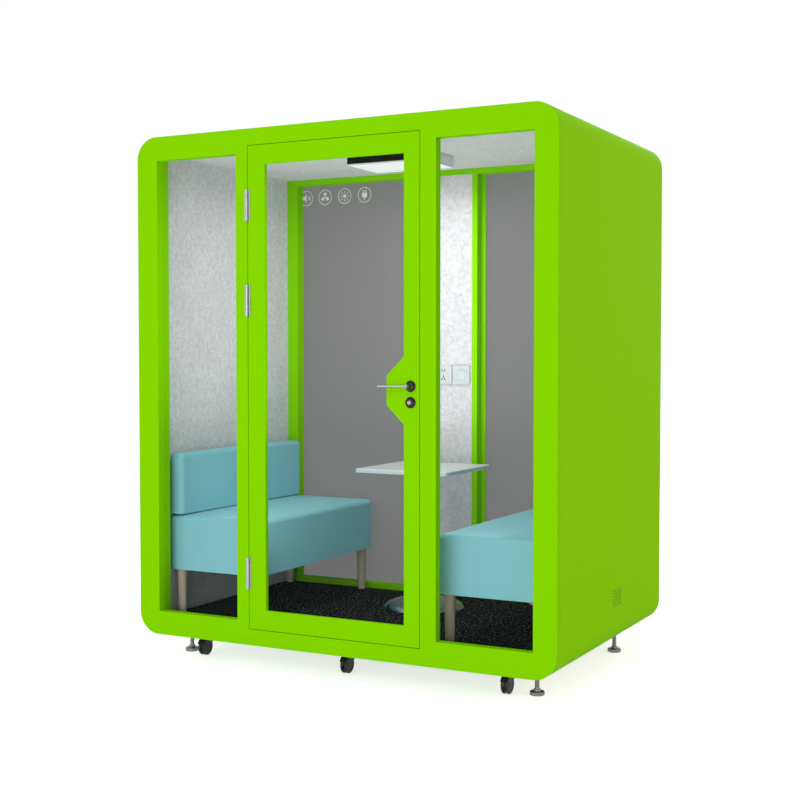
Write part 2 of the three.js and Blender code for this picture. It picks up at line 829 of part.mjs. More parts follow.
function leverHandles() {
  const outer_bar_back = outer_lever_front + lever_bar_depth;
  const inner_bar_front = inner_lever_back - lever_bar_depth;
  const outer_neck = barY(lever_x, lever_z, outer_bar_back - overrun, -fit - outer_rose_height - fit,
    lever_neck_radius, 12);
  const inner_neck = barY(lever_x, lever_z, leaf_thickness + fit + inner_rose_height + running_fit,
    inner_bar_front + overrun, lever_neck_radius, 12);
  const spindle = barY(lever_x, lever_z, outer_bar_back, inner_bar_front, spindle_radius, 12);
  return joined(leverBar(outer_lever_front, outer_bar_back), outer_neck, spindle, inner_neck,
    leverBar(inner_bar_front, inner_lever_back));
}

function thumbTurn() {
  const cap_back = -fit - outer_rose_height - fit;
  const disc_front = leaf_thickness + fit + inner_rose_height + running_fit;
  const cap = barY(lever_x, lock_z, cap_back - cylinder_cap_height, cap_back, cylinder_cap_radius);
  const shaft = barY(lever_x, lock_z, cap_back - cylinder_cap_height, disc_front + overrun, spindle_radius, 12);
  const disc = barY(lever_x, lock_z, disc_front, disc_front + thumb_disc_height, thumb_disc_radius);
  const grip = alongY(roundedRectangle(lever_x - thumb_width / 2, lever_x + thumb_width / 2,
    lock_z - thumb_length / 2, lock_z + thumb_length / 2, thumb_width / 3),
  disc_front + thumb_disc_height - fit, disc_front + thumb_disc_height + thumb_depth, 2);
  return joined(shaft, cap, disc, grip);
}

addNode('lock_case', lockCase(), 'black');
addNode('latch_bolt', latchBolt(), 'steel');
addNode('dead_bolt', deadBolt(), 'steel');
addNode('lever_handles', leverHandles(), 'steel');
addNode('thumb_turn', thumbTurn(), 'steel');

// Linings: felt on the walls and the ceiling, and carpet on the floor

function wallFelt(side) {
  const outer = side * (shell_inner - fit);
  const inner = side * cabin_half_width;
  const sheet = box(Math.min(outer, inner), Math.max(outer, inner), frame_thickness + fit,
    cabin_depth - fit, deck_top + inner_corner_radius + fit, roof_underside - inner_corner_radius - fit);
  return side > 0 ? cutBy(sheet, airDuct(cabin_half_width - overrun, shell_inner + overrun)) : sheet;
}

function ceilingFelt() {
  const sheet = box(-cabin_half_width + fit, cabin_half_width - fit, frame_thickness + fit,
    cabin_depth - fit, ceiling, roof_underside - fit);
  return cutBy(sheet, barZ(0, fan_y, ceiling - overrun, roof_underside + overrun, duct_radius, 32));
}

function floorCarpet() {
  return box(-cabin_half_width + fit, cabin_half_width - fit, frame_thickness + fit,
    cabin_depth - fit, deck_top + fit, carpet_top);
}

addNode('left_wall_felt', wallFelt(-1), 'felt');
addNode('right_wall_felt', wallFelt(1), 'felt');
addNode('ceiling_felt', ceilingFelt(), 'felt');
addNode('carpet', floorCarpet(), 'carpet');

// Back wall: green frame with two recessed bays beside a felt-faced pillar

function bayCut(side) {
  const outer = side * bay_outer;
  const inner = side * bay_inner;
  const narrow = side * (bay_inner + pillar_flange);
  const step = back_pane_front - flange_thickness;
  const wide = box(Math.min(outer, inner), Math.max(outer, inner), cabin_depth - overrun, step,
    bay_bottom, bay_top);
  const sight = box(Math.min(outer, narrow), Math.max(outer, narrow), cabin_depth - overrun,
    back_frame_back + overrun, bay_bottom, bay_top);
  return joined(wide, sight);
}

function backPaneBox(clearance, y0, y1) {
  const half = bay_outer + pane_rebate + clearance;
  return box(-half, half, y0, y1, bay_bottom - pane_rebate - clearance, bay_top + pane_rebate + clearance);
}

function linedOutline(clearance) {
  return roundedRectangle(-shell_inner + clearance, shell_inner - clearance,
    deck_top + clearance, roof_underside - clearance, inner_corner_radius + clearance);
}

function backFrame() {
  const block = alongY(linedOutline(fit), cabin_depth, back_frame_back, 3);
  const felt_edge = pillar_width / 2 - pillar_edge;
  const felt_pocket = box(-felt_edge, felt_edge, cabin_depth - overrun,
    cabin_depth + back_felt_thickness, bay_bottom, bay_top);
  const pane_pocket = backPaneBox(fit, back_pane_front, back_frame_back + overrun);
  return cutBy(block, bayCut(-1), bayCut(1), pane_pocket, felt_pocket);
}

function backFelt() {
  const edge = pillar_width / 2 - pillar_edge - fit;
  return box(-edge, edge, cabin_depth, cabin_depth + back_felt_thickness - fit,
    bay_bottom + fit, bay_top - fit);
}

function rearPanel() {
  const front = back_frame_back + fit;
  const back = body_depth - rear_recess;
  const slab = alongY(linedOutline(fit), front, back, 3);
  const grooves = [-1, 1].map((side) => {
    const x = side * (bay_inner + pillar_flange);
    return box(x - panel_groove_width / 2, x + panel_groove_width / 2,
      back - panel_groove_depth, back + overrun, deck_top - overrun, roof_underside + overrun);
  });
  return cutBy(slab, ...grooves);
}

addNode('back_frame', backFrame(), 'green');
addNode('back_pane', backPaneBox(0, back_pane_front + fit, back_frame_back), 'greyPane');
addNode('back_felt_panel', backFelt(), 'felt');
addNode('rear_panel', rearPanel(), 'green');

// Ceiling unit: lamp box with its diffuser, and intake slots for the fan above it

function lampHousing() {
  const half = lamp_width / 2;
  const back = lamp_from_front + lamp_depth;
  const top = ceiling - fit;
  const outer = box(-half, half, lamp_from_front, back, lamp_underside, top);
  const hollow = box(-half + lamp_wall, half - lamp_wall, lamp_from_front + lamp_wall, back - lamp_wall,
    lamp_underside - overrun, top - lamp_top);
  const rebate = box(-half + lamp_rim, half - lamp_rim, lamp_from_front + lamp_rim, back - lamp_rim,
    lamp_underside - overrun, lamp_underside + diffuser_thickness + fit);
  const duct = barZ(0, fan_y, top - lamp_top - overrun, top + overrun, duct_radius, 32);
  const slots = [];
  const pitch = (lamp_width - 2 * lamp_wall) / intake_slots;
  const slot_z = (lamp_underside + ceiling) / 2;
  for (let i = 0; i < intake_slots; i += 1) {
    const x = -half + lamp_wall + (i + 0.5) * pitch;
    slots.push(box(x - intake_slot_width / 2, x + intake_slot_width / 2,
      back - lamp_wall - overrun, back + overrun,
      slot_z - intake_slot_height / 2, slot_z + intake_slot_height / 2));
  }
  return cutBy(outer, hollow, rebate, duct, ...slots);
}

function lampDiffuser() {
  const inset = lamp_rim + fit;
  return box(-lamp_width / 2 + inset, lamp_width / 2 - inset,
    lamp_from_front + inset, lamp_from_front + lamp_depth - inset,
    lamp_underside, lamp_underside + diffuser_thickness);
}

addNode('lamp_housing', lampHousing(), 'white');
addNode('lamp_diffuser', lampDiffuser(), 'white');

// Socket, and the touch switch with its travelling button

const plates_z = floor_bottom + plate_height;
const plate_back = cabin_depth - fit;
const plate_front = plate_back - plate_thickness;
const socket_x = plates_offset - plate_pitch + plate_pitch / 2;
const switch_x = plates_offset + plate_pitch / 2;

function wallPlate(x) {
  const half = plate_size / 2;
  return alongY(roundedRectangle(x - half, x + half, plates_z - half, plates_z + half, plate_round),
    plate_front, plate_back, 4);
}

function socketSlot(x, z, degrees) {
  const slot = new THREE.BoxGeometry(socket_slot_width, 2 * socket_slot_depth, socket_slot_length);
  slot.rotateY(THREE.MathUtils.degToRad(degrees));
  slot.translate(x, plate_front, z);
  return solidFrom(slot);
}

function socketPlate() {
  const high = plates_z + socket_row_spacing / 2;
  const low = plates_z - socket_row_spacing / 2;
  const near = socket_slot_spacing / 2;
  return cutBy(wallPlate(socket_x),
    socketSlot(socket_x - near, high, 0),
    socketSlot(socket_x + near, high, 0),
    socketSlot(socket_x - near, low - socket_slot_width, 30),
    socketSlot(socket_x + near, low - socket_slot_width, -30),
    socketSlot(socket_x, low + socket_slot_length, 0));
}

function switchPlate() {
  return cutBy(wallPlate(switch_x), barY(switch_x, plates_z, plate_front - overrun,
    plate_front + button_well_depth, button_radius + running_fit, 32));
}

function switchButton() {
  const front = plate_front - button_proud;
  const disc = barY(switch_x, plates_z, front, front + button_thickness, button_radius, 32);
  const dish = barY(switch_x, plates_z, front - overrun, front + button_rim_height,
    button_radius - button_rim, 32);
  return cutBy(disc, dish);
}

addNode('socket_plate', socketPlate(), 'white');
addNode('switch_plate', switchPlate(), 'white');
addNode('switch_button', switchButton(), 'white');

// Upholstery: a block with rounded edges, a crowned top and sides drawn in between the corners

// Grid lines along one axis, from one end to the other, close together where the edge turns
function gridLines(half, spans, roundedFoot) {
  const core = half - cushion_round;
  const turn = cushion_round * Math.tan(Math.PI / 8);
  const start = roundedFoot ? -core : -half;
  const lines = roundedFoot ? [-half, -core - turn] : [];
  for (let i = 0; i <= spans; i += 1) lines.push(start + ((core - start) * i) / spans);
  return [...lines, core + turn, half];
}

function cushion(low, high, spans) {
  const half = high.clone().sub(low).divideScalar(2);
  const core = half.clone().subScalar(cushion_round);
  const lines = {
    x: gridLines(half.x, spans.x, true),
    y: gridLines(half.y, spans.y, true),
    z: gridLines(half.z, spans.z, false),
  };
  const unit = new THREE.BoxGeometry(1, 1, 1,
    lines.x.length - 1, lines.y.length - 1, lines.z.length - 1);
  const points = unit.attributes.position;
  const at = new THREE.Vector3();
  for (let i = 0; i < points.count; i += 1) {
    at.fromBufferAttribute(points, i);
    for (const axis of ['x', 'y', 'z']) {
      at[axis] = lines[axis][Math.round((at[axis] + 0.5) * (lines[axis].length - 1))];
    }
    const inside = new THREE.Vector3(
      THREE.MathUtils.clamp(at.x, -core.x, core.x),
      THREE.MathUtils.clamp(at.y, -core.y, core.y),
      Math.min(at.z, core.z));
    const outward = at.clone().sub(inside);
    if (outward.length() > 0) at.copy(inside).addScaledVector(outward, cushion_round / outward.length());
    const across = at.x / half.x;
    const along = at.y / half.y;
    const up = at.z / half.z;
    at.z -= cushion_crown * Math.max(0, up) * (1 - (1 - across ** 4) * (1 - along ** 4));
    const waist = cushion_waist * (1 - up ** 2);
    at.x -= waist * across ** 3 * (1 - along ** 8);
    at.y -= waist * along ** 3 * (1 - across ** 8);
    points.setXYZ(i, at.x, at.y, at.z);
  }
  unit.translate(...low.clone().add(high).divideScalar(2).toArray());
  return solidFrom(unit);
}

function benchLeg(x, y) {
  return turned([
    [0, 0], [leg_bottom_radius - 1.5 * fit, 0], [leg_bottom_radius, 5 * fit],
    [leg_top_radius, seat_underside - fit], [0, seat_underside - fit],
  ], x, y, carpet_top + fit, 12);
}

function benchBase(side) {
  const outer = side * (bench_outer - bench_board_inset);
  const inner = side * (bench_inner + bench_board_inset);
  const board = box(Math.min(outer, inner), Math.max(outer, inner),
    bench_from_front + bench_board_inset, bench_end - bench_board_inset,
    seat_bottom, seat_bottom + bench_board_thickness);
  const legs = [];
  for (const x of [bench_outer - leg_side_inset, bench_inner + leg_side_inset]) {
    for (const y of [bench_from_front + leg_end_inset, bench_end - leg_end_inset]) {
      legs.push(benchLeg(side * x, y));
    }
  }
  return joined(board, ...legs.map((leg) => leg.add(legPlug(leg))));
}

// The top of a leg runs into the board by one fit, so that both are one solid
function legPlug(leg) {
  const { min, max } = leg.boundingBox();
  const x = (min[0] + max[0]) / 2;
  const y = (min[1] + max[1]) / 2;
  return barZ(x, y, max[2] - overrun, seat_bottom + overrun, leg_bottom_radius / 2);
}

function seatCushion(side) {
  const [x0, x1] = [side * bench_outer, side * bench_inner].sort((a, b) => a - b);
  const block = cushion(new THREE.Vector3(x0, bench_from_front, seat_bottom),
    new THREE.Vector3(x1, bench_end, seat_top), { x: 4, y: 8, z: 3 });
  const inset = bench_board_inset - fit;
  const pocket = box(x0 + inset, x1 - inset, bench_from_front + inset, bench_end - inset,
    seat_bottom - overrun, seat_bottom + bench_board_thickness + fit);
  return cutBy(block, pocket);
}

function backCushion(side) {
  const [x0, x1] = [side * bench_outer, side * (bench_outer - back_thickness)].sort((a, b) => a - b);
  const block = cushion(new THREE.Vector3(x0, bench_from_front, seat_top - cushion_crown),
    new THREE.Vector3(x1, bench_end, seat_top + back_height), { x: 1, y: 8, z: 3 });
  return cutBy(block, seatCushion(side).translate([0, 0, fit]));
}

for (const [name, side] of [['left', -1], ['right', 1]]) {
  addNode(`${name}_bench_base`, benchBase(side), 'wood');
  addNode(`${name}_seat_cushion`, seatCushion(side), 'fabric');
  addNode(`${name}_back_cushion`, backCushion(side), 'fabric');
}

// Table: square top on a round pedestal

function tableTop() {
  const top = carpet_top + table_height;
  const shape = roundedRectangle(
    table_offset - table_width / 2 + table_edge_round, table_offset + table_width / 2 - table_edge_round,
    table_y - table_depth / 2 + table_edge_round,
    table_y + table_depth / 2 - table_edge_round, table_round);
  const slab = extruded(shape, table_thickness - 2 * table_edge_round, 5, {
    bevelEnabled: true, bevelSize: table_edge_round, bevelThickness: table_edge_round, bevelSegments: 1,
  });
  slab.translate(0, 0, top - table_thickness + table_edge_round);
  return solidFrom(slab);
}

// A quarter of an ellipse, from the edge of the base up to the foot of the column
function pedestalDome() {
  const last = Math.acos((table_column_radius + table_column_fillet) / table_base_radius);
  return Array.from({ length: table_dome_rings }, (_, ring) => {
    const angle = last * ring / (table_dome_rings - 1);
    return [table_base_radius * Math.cos(angle), table_base_edge + table_dome_rise * Math.sin(angle)];
  });
}

function tablePedestal() {
  const height = table_height - table_thickness - fit;
  return turned([
    [0, fit], [table_base_radius - table_edge_round, fit], [table_base_radius, table_edge_round],
    ...pedestalDome(),
    [table_column_radius, table_base_edge + table_dome_rise + table_column_fillet],
    [table_column_radius, height - table_flange_thickness],
    [table_flange_radius, height - table_flange_thickness / 2],
    [table_flange_radius, height], [0, height],
  ], table_offset, table_y, carpet_top, 32);
}

addNode('table_top', tableTop(), 'white');
addNode('table_pedestal', tablePedestal(), 'grey');

// Twin-wheel casters: a hooded yoke that swivels, and a pair of wheels on one axle

const wheel_z = caster_lift + caster_wheel_radius;
const wheel_inner = caster_web / 2 + running_fit;
const fender_inner = caster_wheel_radius + caster_fender_gap;
const fender_outer = fender_inner + caster_fender_thickness;

function casterYoke(x, y) {
  const wheel_y = y - caster_trail;
  const half_span = wheel_inner + caster_wheel_width;
  const spread = THREE.MathUtils.degToRad(caster_fender_half_angle);
  const fender = new THREE.Shape();
  fender.absarc(wheel_y, wheel_z, fender_outer, Math.PI / 2 - spread, Math.PI / 2 + spread, false);
  fender.absarc(wheel_y, wheel_z, fender_inner, Math.PI / 2 + spread, Math.PI / 2 - spread, true);
  const web = new THREE.Shape();
  web.absarc(wheel_y, wheel_z, (fender_inner + fender_outer) / 2, 0, Math.PI, false);
  web.absarc(wheel_y, wheel_z, caster_axle_radius * 3, Math.PI, 2 * Math.PI, false);
  const head_top = caster_plate_bottom - fit;
  const head = barZ(x, y, wheel_z + fender_inner, head_top, caster_head_radius, 14);
  const solid = joined(
    alongX(fender, x - half_span, x + half_span, 6),
    alongX(web, x - caster_web / 2, x + caster_web / 2, 6),
    head);
  const pin_hole = barZ(x, y, caster_plate_bottom - caster_pin_length - running_fit,
    head_top + overrun, caster_pin_radius + running_fit, 10);
  const axle_hole = barX(wheel_y, wheel_z, x - caster_web, x + caster_web,
    caster_axle_radius + running_fit, 10);
  return cutBy(solid, pin_hole, axle_hole);
}

function casterWheels(x, y) {
  const wheel_y = y - caster_trail;
  const halves = [-1, 1].map((side) => {
    const wheel = new THREE.LatheGeometry([
      [0, 0], [caster_wheel_radius, 0],
      [caster_wheel_radius, caster_wheel_width - caster_wheel_round],
      [caster_wheel_radius - caster_wheel_round, caster_wheel_width],
      [0, caster_wheel_width - caster_wheel_round / 2],
    ].map(([r, h]) => new THREE.Vector2(r, h)), 18);
    wheel.rotateZ(side > 0 ? -Math.PI / 2 : Math.PI / 2);
    wheel.translate(x + side * wheel_inner, wheel_y, wheel_z);
    return solidFrom(wheel);
  });
  const axle = barX(wheel_y, wheel_z, x - wheel_inner - overrun, x + wheel_inner + overrun,
    caster_axle_radius, 10);
  return joined(axle, ...halves);
}

for (const [place, x, y] of caster_places) {
  addNode(`caster_${place}_yoke`, casterYoke(x, y), 'black');
  addNode(`caster_${place}_wheels`, casterWheels(x, y), 'black');
}

// Levelling feet: round pad, cone and threaded stud

function levellingFoot(x, y) {
  const chamfer = foot_pad_height / 8;
  return turned([
    [0, 0], [foot_pad_radius - chamfer, 0], [foot_pad_radius, chamfer],
    [foot_pad_radius, foot_pad_height - chamfer], [foot_pad_radius - chamfer, foot_pad_height],
    [foot_collar_radius, foot_pad_height], [foot_collar_radius, foot_pad_height + foot_collar_height / 3],
    [foot_stud_radius, foot_pad_height + foot_collar_height],
    [foot_stud_radius, ground_gap + foot_stud_engagement], [0, ground_gap + foot_stud_engagement],
  ], x, y, 0, 14);
}

for (const [place, x, y] of foot_places) {
  addNode(`levelling_foot_${place}`, levellingFoot(x, y), 'grey');
}

pod.position.y = (front_projection + fit - body_depth) / 2;
pod.updateMatrixWorld(true);

export default pod;
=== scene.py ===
"""Looks of the acoustic pod: materials, upholstery, small trim, lights and camera."""

import math

import bmesh
import bpy
from mathutils import Matrix, Vector


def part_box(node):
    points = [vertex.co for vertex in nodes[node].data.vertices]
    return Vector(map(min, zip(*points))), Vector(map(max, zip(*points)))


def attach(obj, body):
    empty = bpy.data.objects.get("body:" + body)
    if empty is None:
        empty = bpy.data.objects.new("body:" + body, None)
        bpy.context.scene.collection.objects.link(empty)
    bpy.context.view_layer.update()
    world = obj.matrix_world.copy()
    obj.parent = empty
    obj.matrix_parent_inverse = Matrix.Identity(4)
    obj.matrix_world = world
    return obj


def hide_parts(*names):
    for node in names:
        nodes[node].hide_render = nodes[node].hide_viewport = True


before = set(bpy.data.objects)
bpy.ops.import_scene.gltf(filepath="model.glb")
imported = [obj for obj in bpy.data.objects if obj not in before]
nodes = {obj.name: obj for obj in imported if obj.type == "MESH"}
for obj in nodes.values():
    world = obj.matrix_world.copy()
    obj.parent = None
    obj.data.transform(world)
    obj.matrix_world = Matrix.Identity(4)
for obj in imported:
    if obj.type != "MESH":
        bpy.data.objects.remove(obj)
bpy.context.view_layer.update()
scene = bpy.context.scene
MM = 0.001

ROWS = ("front", "rear")
CASTERS = [f"{row}_{column}" for row in ROWS for column in ("left", "middle", "right")]
FEET = [f"{row}_{side}" for row in ROWS for side in ("left", "right")]
HINGES = ("top", "middle", "bottom")


# Materials


def linear(rgb):
    """An sRGB colour from 0 to 255, as the linear colour that a shader socket takes."""
    shares = [value / 255 for value in rgb]
    return (*(c / 12.92 if c <= 0.04045 else ((c + 0.055) / 1.055) ** 2.4 for c in shares), 1.0)


def grey(level):
    return (level, level, level, 1.0)


class Material:
    """One procedural material on object coordinates, in metres."""

    def __init__(self, name, rgb, roughness, metallic=0.0, **sockets):
        self.data = bpy.data.materials.new(name)
        self.data.use_nodes = True
        self.tree = self.data.node_tree
        self.tree.nodes.clear()
        output = self.node("ShaderNodeOutputMaterial")
        self.shader = self.node("ShaderNodeBsdfPrincipled")
        self.tree.links.new(self.shader.outputs["BSDF"], output.inputs["Surface"])
        self.base = linear(rgb)
        self.shader.inputs["Base Color"].default_value = self.base
        self.shader.inputs["Roughness"].default_value = roughness
        self.shader.inputs["Metallic"].default_value = metallic
        for socket, value in sockets.items():
            self.shader.inputs[socket.replace("_", " ")].default_value = value
        self.place = self.node("ShaderNodeTexCoord").outputs["Object"]
        self.normal = None

    def node(self, kind, **settings):
        node = self.tree.nodes.new(kind)
        for name, value in settings.items():
            setattr(node, name, value)
        return node

    def stretched(self, stretch):
        if stretch == (1, 1, 1):
            return self.place
        mapping = self.node("ShaderNodeMapping")
        mapping.inputs["Scale"].default_value = stretch
        self.tree.links.new(self.place, mapping.inputs["Vector"])
        return mapping.outputs["Vector"]

    def noise(self, scale, detail=2.0, roughness=0.5, stretch=(1, 1, 1), distortion=0.0):
        """Noise with this many waves to the metre."""
        node = self.node("ShaderNodeTexNoise")
        for name, value in (("Scale", scale), ("Detail", detail), ("Roughness", roughness),
                            ("Distortion", distortion)):
            node.inputs[name].default_value = value
        self.tree.links.new(self.stretched(stretch), node.inputs["Vector"])
        return node.outputs["Fac"]

    def cells(self, scale, stretch=(1, 1, 1)):
        """Distance to the nearest of this many random points to the metre."""
        node = self.node("ShaderNodeTexVoronoi")
        node.inputs["Scale"].default_value = scale
        self.tree.links.new(self.stretched(stretch), node.inputs["Vector"])
        return node.outputs["Distance"]

    def ramp(self, source, *stops):
        node = self.node("ShaderNodeValToRGB")
        elements = node.color_ramp.elements
        while len(elements) < len(stops):
            elements.new(0.5)
        for element, (position, colour) in zip(elements, stops):
            element.position = position
            element.color = colour
        self.tree.links.new(source, node.inputs["Fac"])
        return node.outputs["Color"]

    def blended(self, first, second, mode, factor=1.0):
        node = self.node("ShaderNodeMix", data_type="RGBA", blend_type=mode)
        node.inputs[0].default_value = factor
        for index, source in ((6, first), (7, second)):
            if isinstance(source, bpy.types.NodeSocket):
                self.tree.links.new(source, node.inputs[index])
            else:
                node.inputs[index].default_value = source
        return node.outputs[2]

    def colour(self, source):
        self.tree.links.new(source, self.shader.inputs["Base Color"])

    def tint(self, source, low, high, darker, lighter):
        """Moves the base colour between a darker and a lighter share of itself."""
        shade = self.ramp(source, (low, grey(darker)), (high, grey(lighter)))
        self.colour(self.blended(self.base, shade, "MULTIPLY"))

    def roughness(self, source, low, high):
        node = self.node("ShaderNodeMapRange")
        node.inputs["To Min"].default_value = low
        node.inputs["To Max"].default_value = high
        self.tree.links.new(source, node.inputs["Value"])
        self.tree.links.new(node.outputs["Result"], self.shader.inputs["Roughness"])

    def bump(self, source, depth, strength=0.5):
        node = self.node("ShaderNodeBump")
        node.inputs["Strength"].default_value = strength
        node.inputs["Distance"].default_value = depth
        self.tree.links.new(source, node.inputs["Height"])
        if self.normal:
            self.tree.links.new(self.normal, node.inputs["Normal"])
        self.normal = node.outputs["Normal"]
        self.tree.links.new(self.normal, self.shader.inputs["Normal"])


def paint(name, rgb):
    m = Material(name, rgb, 0.55, IOR=1.05)
    m.tint(m.noise(2.5, 3), 0.3, 0.7, 0.99, 1.0)
    m.roughness(m.noise(45, 2), 0.52, 0.6)
    m.bump(m.noise(650, 1), 0.05 * MM, 0.3)
    return m.data


def felt(name, rgb):
    """Pressed fibre felt: faint clouds, soft mottling and fine darker specks."""
    m = Material(name, rgb, 0.95, Specular_IOR_Level=0.05, Sheen_Weight=0.1, Sheen_Roughness=0.6)
    clouds = m.ramp(m.noise(8, 3, 0.55), (0.35, grey(0.93)), (0.65, grey(1.0)))
    mottling = m.ramp(m.noise(42, 4, 0.6), (0.35, grey(0.87)), (0.62, grey(1.03)))
    specks = m.ramp(m.noise(150, 4, 0.65), (0.33, grey(0.68)), (0.45, grey(0.96)),
                    (0.62, grey(1.04)))
    mottled = m.blended(m.blended(m.base, clouds, "MULTIPLY"), mottling, "MULTIPLY")
    m.colour(m.blended(mottled, specks, "MULTIPLY"))
    m.bump(m.noise(420, 3, 0.7), 0.6 * MM)
    return m.data


def carpet_pile():
    """Dark loop pile with pale flecks."""
    m = Material("carpet_pile", (8, 8, 10), 0.97, Specular_IOR_Level=0.05)
    pile = m.ramp(m.cells(190), (0.0, grey(1.5)), (0.8, grey(0.35)))
    flecks = m.ramp(m.noise(95, 4, 0.7), (0.56, grey(0.0)), (0.66, grey(0.3)))
    m.colour(m.blended(m.blended(m.base, pile, "MULTIPLY"), flecks, "ADD"))
    m.bump(m.cells(190), 3 * MM, 0.8)
    return m.data


def window_glass():
    m = Material("window_glass", (60, 74, 72), 0.02, IOR=1.45, Specular_IOR_Level=0.25, Alpha=0.035)
    m.roughness(m.noise(3, 2), 0.01, 0.03)
    m.bump(m.noise(2, 1), 0.3 * MM, 0.04)
    return m.data


def grey_glass():
    """Smoked grey glass with painted light: a faint even glow of its own, since nothing behind it shines
    through.
    """
    m = Material("grey_glass", (84, 84, 84), 0.4, IOR=1.1,
                 Emission_Color=grey(0.14), Emission_Strength=1.0)
    m.tint(m.noise(1.2, 2), 0.3, 0.7, 0.985, 1.0)
    m.roughness(m.noise(5, 2), 0.36, 0.42)
    return m.data


def metal(name, rgb, roughness, stretch, waves=700):
    """Metal brushed along the axis that the stretch leaves nearly still."""
    m = Material(name, rgb, roughness, 1.0, Anisotropic=0.3)
    lines = m.noise(waves, 3, 0.7, stretch)
    m.tint(lines, 0.25, 0.75, 0.8, 1.0)
    m.roughness(lines, roughness - 0.07, roughness + 0.09)
    m.bump(lines, 0.04 * MM, 0.35)
    return m.data


def plastic(name, rgb, roughness, grain=500, depth=0.07, **sockets):
    m = Material(name, rgb, roughness, **sockets)
    m.tint(m.noise(30, 3), 0.3, 0.7, 0.95, 1.0)
    m.roughness(m.noise(60, 3), max(0.03, roughness - 0.04), roughness + 0.06)
    m.bump(m.noise(grain, 2), depth * MM, 0.45)
    return m.data


def upholstery():
    """Smooth leather-cloth: fine pores, slight creasing and a soft sheen."""
    m = Material("blue_upholstery", (139, 205, 220), 0.6, Specular_IOR_Level=0.2,
                 Sheen_Weight=0.12, Sheen_Roughness=0.5)
    broad = m.ramp(m.noise(3.5, 3), (0.3, (0.95, 0.97, 0.98, 1)), (0.7, grey(1.0)))
    pores = m.ramp(m.cells(900), (0.05, grey(0.9)), (0.35, grey(1.0)))
    m.colour(m.blended(m.blended(m.base, broad, "MULTIPLY"), pores, "MULTIPLY"))
    m.roughness(m.noise(22, 4), 0.54, 0.68)
    m.bump(m.cells(900), 0.2 * MM, 0.4)
    m.bump(m.noise(11, 3), 1.2 * MM, 0.2)
    return m.data


def timber():
    m = Material("pale_timber", (198, 184, 165), 0.55, Specular_IOR_Level=0.3)
    grain = m.noise(34, 5, 0.6, (1, 1, 0.06), 0.8)
    m.colour(m.ramp(grain, (0.28, linear((164, 147, 126))), (0.48, linear((196, 181, 161))),
                    (0.72, linear((213, 201, 184)))))
    m.roughness(m.noise(200, 3, 0.6, (1, 1, 0.05)), 0.48, 0.62)
    m.bump(m.noise(260, 3, 0.6, (1, 1, 0.04)), 0.2 * MM)
    return m.data


def glowing(name, rgb, strength):
    m = Material(name, rgb, 0.5, Emission_Color=linear(rgb), Emission_Strength=strength)
    m.tint(m.noise(60, 2), 0.3, 0.7, 0.97, 1.0)
    m.bump(m.noise(700, 2), 0.03 * MM, 0.3)
    return m.data


GREEN = (134, 214, 0)
LOOKS = {
    "shell": paint("green_shell_paint", GREEN),
    "inside": paint("green_inside_paint", GREEN),
    "felt": felt("wall_felt", (222, 220, 226)),
    "ceiling": felt("ceiling_felt", (232, 230, 234)),
    "carpet": carpet_pile(),
    "glass": window_glass(),
    "grey_pane": grey_glass(),
    "hinge": metal("hinge_steel", (170, 172, 174), 0.34, (1, 1, 0.03)),
    "polished": metal("polished_steel", (160, 163, 166), 0.2, (0.04, 1, 1), 500),
    "lock": plastic("lock_black", (10, 10, 11), 0.14, 200, 0.02, Specular_IOR_Level=0.3,
                    Coat_Weight=0.1, Coat_Roughness=0.05),
    "lamp_box": plastic("lamp_white", (236, 237, 238), 0.42),
    "lamp_front": plastic("lamp_black", (9, 9, 10), 0.5, Specular_IOR_Level=0.1),
    "diffuser": glowing("lamp_diffuser_white", (238, 240, 242), 0.35),
    "fan": plastic("fan_black", (24, 24, 26), 0.45),
    "plate": plastic("plate_white", (206, 209, 212), 0.35, 700, 0.03, Specular_IOR_Level=0.3),
    "plate_dark": plastic("socket_shadow", (40, 42, 46), 0.6, Specular_IOR_Level=0.2),
    "ring_light": glowing("switch_ring_light", (120, 205, 226), 0.35),
    "sign": plastic("sign_white", (240, 241, 242), 0.6),
    "laminate": plastic("table_laminate", (226, 227, 231), 0.3, 500, 0.04, Specular_IOR_Level=0.35),
    "table_edge": plastic("table_edge_band", (186, 204, 216), 0.35, 700, 0.04),
    "pedestal": metal("pedestal_steel", (168, 171, 174), 0.17, (1, 1, 0.04)),
    "fabric": upholstery(),
    "timber": timber(),
    "rubber": plastic("seal_rubber", (22, 23, 22), 0.75, 900, 0.1, Specular_IOR_Level=0.25),
    "caster": plastic("caster_black", (22, 22, 23), 0.42, 900, 0.08, Specular_IOR_Level=0.35),
    "foot": metal("foot_steel", (128, 129, 131), 0.4, (1, 1, 0.2), 900),
    "screw": metal("screw_steel", (150, 152, 154), 0.3, (1, 1, 1), 400),
}


# CAD nodes: a look for each, and softened edges


weld_distance = 0.02 * MM
edge_angle = math.radians(38)
edge_steps = 2


def soften(obj, width):
    """Rounds an object's sharper edges by this many millimetres."""
    rounding = obj.modifiers.new("soft_edges", "BEVEL")
    rounding.width = width * MM
    rounding.segments = edge_steps
    rounding.limit_method = "ANGLE"
    rounding.angle_limit = edge_angle


def dress(look, edge, *names):
    """Gives these CAD nodes a look and edges rounded by this many millimetres."""
    for name in names:
        node = nodes[name]
        node.data.materials.clear()
        node.data.materials.append(LOOKS[look])
        for polygon in node.data.polygons:
            polygon.use_smooth = True
            polygon.material_index = 0
        node.modifiers.new("weld", "WELD").merge_threshold = weld_distance
        soften(node, edge)
        node.modifiers.new("even_normals", "WEIGHTED_NORMAL").weight = 100


